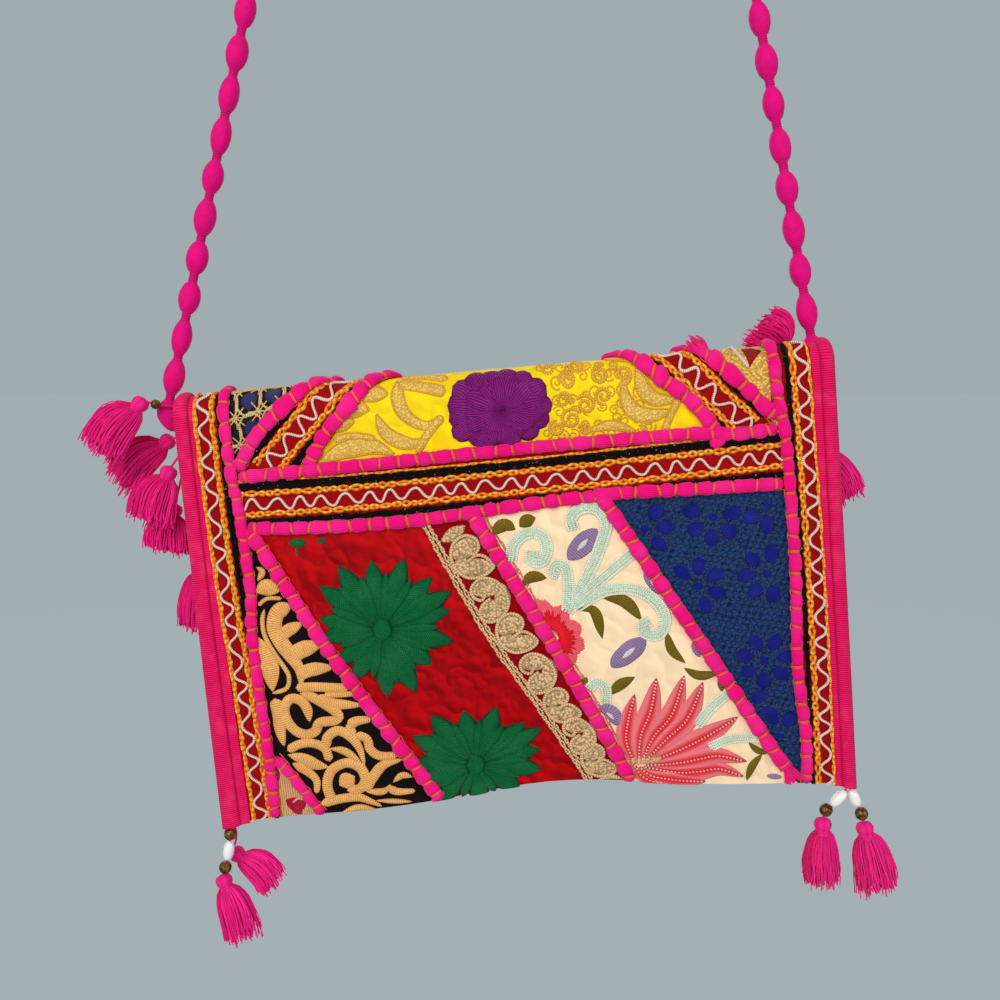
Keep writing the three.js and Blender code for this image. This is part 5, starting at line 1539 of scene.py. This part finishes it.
    def poppy(self):
        """A half flower beside the cord: pale stitches that end in scallops, over them deep red ones of
        uneven lengths."""
        cloth, rng = Cloth(), np.random.default_rng(3)
        angles, reaches = np.array(POPPY_REACH).T
        for angle in np.linspace(angles[0], angles[-1], 46):
            ray = np.array((math.cos(math.radians(angle)), math.sin(math.radians(angle))))
            reach = np.interp(angle, angles, reaches)
            scallop = 0.88 + 0.14 * abs(math.sin(math.radians(4.3 * angle)))
            pale, deep = reach * scallop * rng.uniform(0.98, 1.02), reach * rng.uniform(0.55, 0.8)
            near, far = POPPY_CENTRE + 0.4 * reach * ray, POPPY_CENTRE + pale * ray
            stitched(cloth, [near, far], 1.0, "band", rise=0.5, step=1.2, sides=7)
            near, far = POPPY_CENTRE + 0.2 * reach * ray, POPPY_CENTRE + deep * ray
            stitched(cloth, [near, far], 0.8, "finger", rise=0.5, base=1.95, finish=1, step=1.2, sides=7)
        pale = satin_finish(
            "poppy_pale", tone(252, 96, 104), 0.9, line="across", fleck=0.5, rough=0.55, deep=0.75,
        )
        deep = satin_finish(
            "poppy_deep", colour("poppy"), 0.9, line="across", fleck=0.5, rough=0.55, deep=0.7,
        )
        cloth.made("poppy_flower", [pale, deep], "cream_silk")

    def brocade(self):
        """Flowers of seven puffed oval petals, each in a ring of dotted stitches, kept inside the patch."""
        cloth, rng = Cloth(), np.random.default_rng(11)
        seam = np.array(PATCHES["patch_blue"][0])
        turn = np.linspace(0, 2 * np.pi, 25)
        for place in np.array(BROCADE_FLOWERS):
            start = rng.uniform(0, 0.9)
            for angle in start + 2 * np.pi * np.arange(7) / 7:
                ray = np.array((math.cos(angle), math.sin(angle)))
                ring = place + (8.5 + 5.0 * np.cos(turn))[:, None] * ray
                ring = ring + (4.3 * np.sin(turn))[:, None] * np.array((-ray[1], ray[0]))
                clear = ring[:, 0] > np.interp(ring[:, 1], seam[:, 1], seam[:, 0]) + 1
                low, high = ring.min(0), ring.max(0)
                if clear.all() and high[0] < 113 and low[1] > -88 and high[1] < 36:
                    dashes(cloth, ring, pitch=1.9, half=0.6, lift=1.75, finish=1, share=0.5)
                    ends = [place + 4.3 * ray, place + 12.6 * ray]
                    stitched(cloth, ends, 3.5, "oval", rise=0.8, base=1.45)
            stitched(cloth, [place - (2, 0), place + (2, 0)], 1.9, "oval", base=1.5)
        royal = satin_finish(
            "royal_satin", colour("royal"), 0.8, line="across", fleck=0.6, deep=0.5, edge=3.6,
        )
        dots = satin_finish("brocade_dots", tone(58, 70, 98), 0.7, fleck=0.2, deep=0.75)
        cloth.made("brocade_flowers", [royal, dots], "blue_brocade")


# First stops of the strap's two sides, from the bag up
STRAP_LEFT = [(-136.7, 6.2, 80.8), (-139.6, 7.4, 83.4), (-142.2, 8.4, 88.5)]
STRAP_RIGHT = [(131.4, 12.6, 82), (131.2, 13.2, 87), (131, 14, 93)]


class BAG_OT_strap(bpy.types.Operator):
    """Strings the strap: cloth-covered beads with wrapped necks, over the peg"""

    bl_idname = "bag.strap"
    bl_label = "Strap"

    def route(self):
        """The strap's middle line in model millimetres: up from one corner, round the peg and down again."""
        left, right = hung(STRAP_LEFT) / MM, hung(STRAP_RIGHT) / MM
        radius = PEG_RADIUS + STRAP_ON_PEG
        angles = []
        for point, side in ((left[2], 1), (right[2], -1)):
            away = math.hypot(point[0], point[2] + PEG_RADIUS)
            angles.append(math.atan2(point[2] + PEG_RADIUS, point[0]) - side * math.acos(radius / away))
        turn = np.linspace(angles[0] + 2 * math.pi, angles[1], 15)
        arc = np.stack([radius * np.cos(turn), 0 * turn, radius * np.sin(turn) - PEG_RADIUS], -1)
        return np.vstack([left, arc, right[::-1]])

    def execute(self, context):
        knots = self.route()
        so_far = length_so_far(knots)
        beads = round(so_far[-1] / millimetres("bead_pitch"))
        rng = np.random.default_rng(7)
        per_bead, sides = 18, 20
        place = np.linspace(0, beads, beads * per_bead + 1)
        middle = np.stack([np.interp(place * so_far[-1] / beads, so_far, knots[:, i]) for i in range(3)], -1)
        which = np.minimum(place.astype(int), beads - 1)
        t = place - which
        long_share = BEAD_SHARE + rng.uniform(-0.05, 0.06, beads)[which]
        stout = BEAD_RADIUS + rng.uniform(-0.3, 0.25, beads)[which]
        s = np.clip((t - 0.5) / long_share + 0.5, 0, 1)
        body = np.sin(np.pi * s) ** 0.62
        radius = np.maximum(NECK_LEAST, NECK_RADIUS + (stout - NECK_RADIUS) * body)
        angle = np.linspace(0, 2 * np.pi, sides, endpoint=False)
        phase = rng.uniform(0, 6.28, beads)[which]
        gathered = (np.clip(1.1 - body, 0, 0.6) * (body > 0.25))[:, None]
        pleat = 1 + 0.045 * np.cos(5 * angle[None] + phase[:, None]) * gathered
        run = unit(np.gradient(middle, axis=0))
        side = unit(np.cross(run, (0.0, 1.0, 0.0)))
        ring = turn_round(side, np.cross(side, run), sides)
        points = (middle[:, None] + (radius[:, None] * pleat)[..., None] * ring) * MM
        along = place * millimetres("bead_pitch")
        threads = np.stack(np.broadcast_arrays(along[:, None], 4 * angle), -1)
        cloth = Cloth()
        cloth.tubes(points[None], threads[None])
        cloth.made("strap_beads", [self.bead_cloth()], "bead_cloth", ["strap"])
        return {"FINISHED"}

    def bead_cloth(self):
        """Thin cloth drawn over beads: a fine weave with random tone, and painted shade in the wrapped necks
        between them, striped by the wrapping thread.
        """
        f = Finish("bead_cloth")
        base = colour("bead_cloth")
        weave = f.rows(f.along, 0.9) * f.rows(f.across, 0.9)
        place = f.along.math("FRACT", f.along / millimetres("bead_pitch"))
        # Painted shade in the wrapped necks between beads, striped by the wrapping thread.
        neck_shade = abs(place - 0.5).between(0.36, 0.46)
        wraps = f.rows(f.along, 1.0)
        tint = (weave * 0.4 + f.noise(3) * 0.7).between(0.1, 0.9).blend(darker(base, 0.68), base)
        tint = (neck_shade * 0.8).blend(tint, wraps.blend(darker(base, 0.3), darker(base, 0.85)))
        return f.close(tint, 0.7, weave * 0.5 + f.noise(2.4) * 0.8, sheen=0.08)


TASSELS = {
    # head, tip, spread of the skirt, thread from the head
    "upper_left_1": ((-150, -1, 93), (-170, -2, 74.5), 10, [(-144.2, 1.1, 92.4), (-136.2, 5, 90.4)]),
    "upper_left_2": ((-146.4, 16, 76), (-170, 15, 60), 9.5, [(-136, 6.4, 77.6)]),
    "upper_left_3": ((-142.5, 2, 63.2), (-153.2, 1, 43.3), 10.5, [(-135.8, 2.5, 71.6)]),
    "upper_left_4": ((-146.3, 14, 46), (-151.8, 13, 28.5), 10.5, [(-135.5, 3.5, 67)]),
    "upper_left_5": ((-138.5, 15, 19.7), (-144.4, 14, -6.5), 7, [(-129, 8.7, 60)]),
    "upper_right_1": ((121.5, 18.5, 91), (109.5, 17, 103.6), 10.5, [(127, 9.4, 80)]),
    "upper_right_2": ((124, 22, 81), (129, 20, 62), 6, [(122, 15, 86), (125.5, 9.4, 72)]),
    "upper_right_3": ((133, 14, 50), (143.5, 13, 28.5), 6.5, [(130, 8.6, 66)]),
    "lower_left_1": ((-136.6, -5, -114.6), (-130.5, -6, -140), 8.5,
                     [(-135.4, -5, -108.4), (-133.1, -5, -101), (-131.5, -5, -93.6), (-131, -5, -90.6)]),
    "lower_left_2": ((-132.6, 4, -106.6), (-117.4, 3, -121), 8, [(-131, 1, -97), (-130, -2.6, -90.6)]),
    "lower_right_1": ((119.6, -6.2, -105.4), (117, -7, -131), 7.5,
                      [(121.3, -6.2, -99.2), (126.6, -6.2, -94.5), (130.2, -6.2, -90.6)]),
    "lower_right_2": ((137.6, -2.8, -109.8), (141.5, -3.5, -137), 9,
                      [(136.6, -2.8, -103.2), (133.9, -2.8, -96), (131.8, -2.8, -90.6)]),
}


def turned(profile, centre, axis, sides):
    """A turned form in bag millimetres: stops (radius, height) swung round an axis."""
    axis = unit(np.asarray(axis, float))
    side = unit(np.cross(axis, (0.0, 1.0, 0.0)))
    ring = turn_round(side, np.cross(axis, side), sides)
    radius, height = np.asarray(profile, float).T
    return np.asarray(centre, float) + radius[:, None, None] * ring + height[:, None, None] * axis


def loose_tube(cloth, line, radius, sides=8, shade=0.5):
    """A round thread of one tone along a line in bag millimetres."""
    run = unit(np.gradient(line, axis=0))
    side = unit(np.cross(run, (0.1, 1.0, 0.05)))
    ring = turn_round(side, np.cross(side, run), sides)
    along = length_so_far(line) + TASSEL_SHADED_LENGTH
    threads = np.stack(np.broadcast_arrays(along[:, None], np.full(sides, shade)), -1)
    cloth.tubes(hung(line[:, None] + radius * ring)[None], threads[None])


class BAG_OT_tassels(bpy.types.Operator):
    """Ties the tassels: loose threads under a wrapped head, on a thread from the bag"""

    bl_idname = "bag.tassels"
    bl_label = "Tassels"

    def execute(self, context):
        yarn = tassel_finish("tassel_yarn", colour("tassel"), colour("yarn_bloom"))
        rng = np.random.default_rng(21)
        for name, (head, tip, spread, thread) in TASSELS.items():
            cloth = Cloth()
            self.skirt(cloth, np.array(head, float), np.array(tip, float), spread, rng)
            self.head(cloth, np.array(head, float), np.array(tip, float), thread)
            cloth.made(f"tassel_{name}_yarn", [yarn], "yarn", [f"tassel_{name}"])
        return {"FINISHED"}

    def skirt(self, cloth, head, tip, spread, rng):
        """Threads that leave the head together, swell to a flat bell, arch where they lie level and curl
        apart to ragged ends; a few are longer than the rest."""
        count, rings, sides = 360, 8, 3
        length = np.linalg.norm(tip - head)
        along = (tip - head) / length
        side = unit(np.cross((0.0, 1.0, 0.0), along))
        depth = np.cross(along, side)
        reach = np.sqrt(rng.uniform(0.02, 1, count))
        angle = rng.uniform(0, 2 * np.pi, count)
        long_ones = rng.random(count) < 0.06
        end = length * np.where(long_ones, rng.uniform(1.0, 1.1, count), rng.uniform(0.8, 1.0, count))
        t = np.linspace(0, 1, rings)
        bell = np.interp(t, [0, 0.1, 0.35, 0.75, 1], [0.25, 0.6, 0.92, 1.03, 1.0])
        out = bell[None] * (reach * (spread - 0.3))[:, None]
        bend, start = rng.uniform(3, 7, (count, 1)), rng.uniform(0, 6.28, (count, 1))
        wave = rng.uniform(0.2, 1.3, (count, 1)) * t**1.5 * np.sin(bend * t + start)
        across = out * np.cos(angle)[:, None] + wave
        deep = 0.6 * out * np.sin(angle)[:, None] + 0.7 * wave
        down = 1.5 + (end - 1.5)[:, None] * t
        lying = np.array((0.0, 0.0, 1.0)) - along * along[2]
        arch = (12 * t * (1 - t))[None, :, None] * lying
        middle = head + down[..., None] * along + across[..., None] * side + deep[..., None] * depth + arch
        run = unit(np.gradient(middle, axis=1))
        across_run = unit(np.cross(run, depth))
        ring = turn_round(across_run, np.cross(run, across_run), sides)
        shade = rng.uniform(0.2, 1, (count, 1, 1))
        threads = np.stack(np.broadcast_arrays(down[..., None], shade + np.zeros(sides)), -1)
        cloth.tubes(hung(middle[:, :, None] + millimetres("tassel_thread") * ring), threads)

    def head(self, cloth, head, tip, thread):
        """A knob with thread wound under it, and the thread that holds it."""
        along = unit(tip - head)
        height = np.linspace(3.2, -4.4, 24)
        knob = np.interp(height, [-4.4, -3.6, -1.5, 0.6, 2.2, 3.0, 3.2], [2.6, 3.0, 3.4, 3.7, 3.0, 1.2, 0.5])
        wound = 0.25 * np.cos(2 * np.pi * height / 0.8) * (height < -1.2)
        waist = 0.35 * (np.abs(height + 2.4) < 1.3)
        sides = 20
        points = turned(np.stack([knob + wound - waist, height], -1), head, -along, sides)
        turn = np.linspace(0, 1, sides, endpoint=False)
        shade = 0.55 + 0.3 * np.sin(14 * np.pi * turn)[None] + 0 * height[:, None]
        threads = np.stack([np.full(shade.shape, TASSEL_SHADED_LENGTH), shade], -1)
        cloth.tubes(hung(points)[None], threads[None])
        start = head - 2.2 * along
        line = smooth_line(np.vstack([start, *[np.array(p, float) for p in thread]]), 1.0)[0]
        loose_tube(cloth, line, 0.5)


BEADS = {
    # centre, direction of the hole
    "brass_1": ((-131.5, -5, -93.6), (0.2, 0, 1)),
    "white_1": ((-133.1, -5, -101), (0.25, 0, 1)),
    "brass_2": ((-135.4, -5, -108.4), (0.28, 0, 1)),
    "white_2": ((126.6, -6.2, -94.5), (0.75, 0, 0.67)),
    "brass_3": ((121.3, -6.2, -99.2), (0.55, 0, 0.83)),
    "white_3": ((133.9, -2.8, -96), (-0.37, 0, 0.93)),
    "brass_4": ((136.6, -2.8, -103.2), (-0.25, 0, 0.97)),
    "brass_5": ((-144.2, 1.1, 92.4), (-0.86, -0.44, 0.27)),
}
BEAD_SIZES = {
    # radius, length
    "brass": (2.7, 5.2),
    "white": (2.4, 8.6),
    "brass_5": (2.1, 3.8),
}


class BAG_OT_beads(bpy.types.Operator):
    """Threads the brass and white beads"""

    bl_idname = "bag.beads"
    bl_label = "Beads"

    def execute(self, context):
        finishes = {
            "brass": brass_finish("old_brass", colour("brass")),
            "white": glass_bead_finish("milk_glass", colour("milk")),
        }
        for name, (centre, axis) in BEADS.items():
            kind = name.split("_")[0]
            radius, length = BEAD_SIZES.get(name, BEAD_SIZES[kind])
            turn = np.linspace(-0.5 * np.pi, 0.5 * np.pi, 25)
            reach = np.maximum(radius * np.cos(turn) ** 0.75, 0.55)
            if kind == "brass":
                reach = reach * (1 - 0.05 * (np.cos(8 * turn) > 0.55))
            profile = np.stack([reach, length / 2 * np.sin(turn)], -1)
            cloth, sides = Cloth(), 28
            points = turned(profile, centre, axis, sides)
            threads = np.stack(np.broadcast_arrays(profile[:, 1:], np.linspace(0, 10, sides)), -1)
            cloth.tubes(hung(points)[None], threads[None])
            slot = "brass" if kind == "brass" else "white_bead"
            cloth.made(f"bead_{name}_turned", [finishes[kind]], slot, [f"bead_{name}"])
        return {"FINISHED"}


def facing(place, forward):
    """The stand of a camera or light at a place, looking forward with its top up."""
    return Matrix.Translation(place) @ forward.to_track_quat("-Z", "Y").to_matrix().to_4x4()


class BAG_OT_stage(bpy.types.Operator):
    """Sets up the pale floor, the soft lights and the camera in front of the bag"""

    bl_idname = "bag.stage"
    bl_label = "Stage"

    def execute(self, context):
        scene = context.scene
        scene.view_settings.view_transform = "Standard"
        self.floor(scene)
        for name, (place, size, power) in LIGHTS.items():
            self.light(scene, name, place, size, power)
        world = bpy.data.worlds.new("studio")
        world.use_nodes = True
        pale = world.node_tree.nodes["Background"].inputs
        pale["Color"].default_value = (*tone(202, 216, 221), 1)
        pale["Strength"].default_value = WORLD_STRENGTH
        scene.world = world
        lens = bpy.data.cameras.new("front")
        lens.lens = CAMERA_LENS
        lens.sensor_width = CAMERA_SENSOR
        lens.sensor_height = CAMERA_SENSOR
        lens.clip_start = CAMERA_NEAR
        camera = bpy.data.objects.new("front", lens)
        camera.matrix_world = facing(CAMERA_PLACE, Vector(CAMERA_FORWARD))
        scene.collection.objects.link(camera)
        scene.camera = camera
        return {"FINISHED"}

    def floor(self, scene):
        """A level square well below the tassels."""
        mesh = bpy.data.meshes.new("floor")
        turns = ((-1, -1), (1, -1), (1, 1), (-1, 1))
        corners = [(x * FLOOR_HALF, y * FLOOR_HALF, FLOOR_HEIGHT) for x, y in turns]
        mesh.from_pydata(corners, [], [(0, 1, 2, 3)])
        f = Finish("pale_floor")
        pale = colour("floor")
        glow = f.shader.inputs
        glow["Emission Color"].default_value = (*pale, 1)
        glow["Emission Strength"].default_value = FLOOR_GLOW
        tint = f.noise(60).blend(darker(pale, 0.05), darker(pale, 0.06))
        mesh.materials.append(f.close(tint, 0.9, shine=0.0))
        floor = bpy.data.objects.new("floor", mesh)
        scene.collection.objects.link(floor)

    def light(self, scene, name, place, size, power):
        """A soft square light that faces the bag."""
        lamp = bpy.data.lights.new(name, "AREA")
        lamp.size, lamp.energy = size, power
        made = bpy.data.objects.new(name, lamp)
        made.matrix_world = facing(place, Vector(LIGHT_AIM) - Vector(place))
        scene.collection.objects.link(made)


OPERATORS = (
    BAG_OT_stage, BAG_OT_pouch, BAG_OT_flap, BAG_OT_grounds, BAG_OT_trims, BAG_OT_cords,
    BAG_OT_upper_embroidery, BAG_OT_lower_embroidery, BAG_OT_strap, BAG_OT_tassels, BAG_OT_beads,
)


class BAG_PT_panel(bpy.types.Panel):
    """Sizes, colours and steps of the bag"""

    bl_label = "Patchwork clutch"
    bl_idname = "BAG_PT_panel"
    bl_space_type = "VIEW_3D"
    bl_region_type = "UI"
    bl_category = "Bag"

    def draw(self, context):
        for group in (context.scene.bag_sizes, context.scene.bag_colours):
            box = self.layout.box()
            for name in group.__annotations__:
                box.prop(group, name)
        for operator in OPERATORS:
            self.layout.operator(operator.bl_idname)


CLASSES = (BagSizes, BagColours, *OPERATORS, BAG_PT_panel)


def register():
    for one in CLASSES:
        bpy.utils.register_class(one)
    bpy.types.Scene.bag_sizes = bpy.props.PointerProperty(type=BagSizes)
    bpy.types.Scene.bag_colours = bpy.props.PointerProperty(type=BagColours)


def unregister():
    del bpy.types.Scene.bag_colours
    del bpy.types.Scene.bag_sizes
    for one in reversed(CLASSES):
        bpy.utils.unregister_class(one)


def main():
    register()
    for operator in OPERATORS:
        group, name = operator.bl_idname.split(".")
        getattr(getattr(bpy.ops, group), name)()


if __name__ == "__main__":
    main()
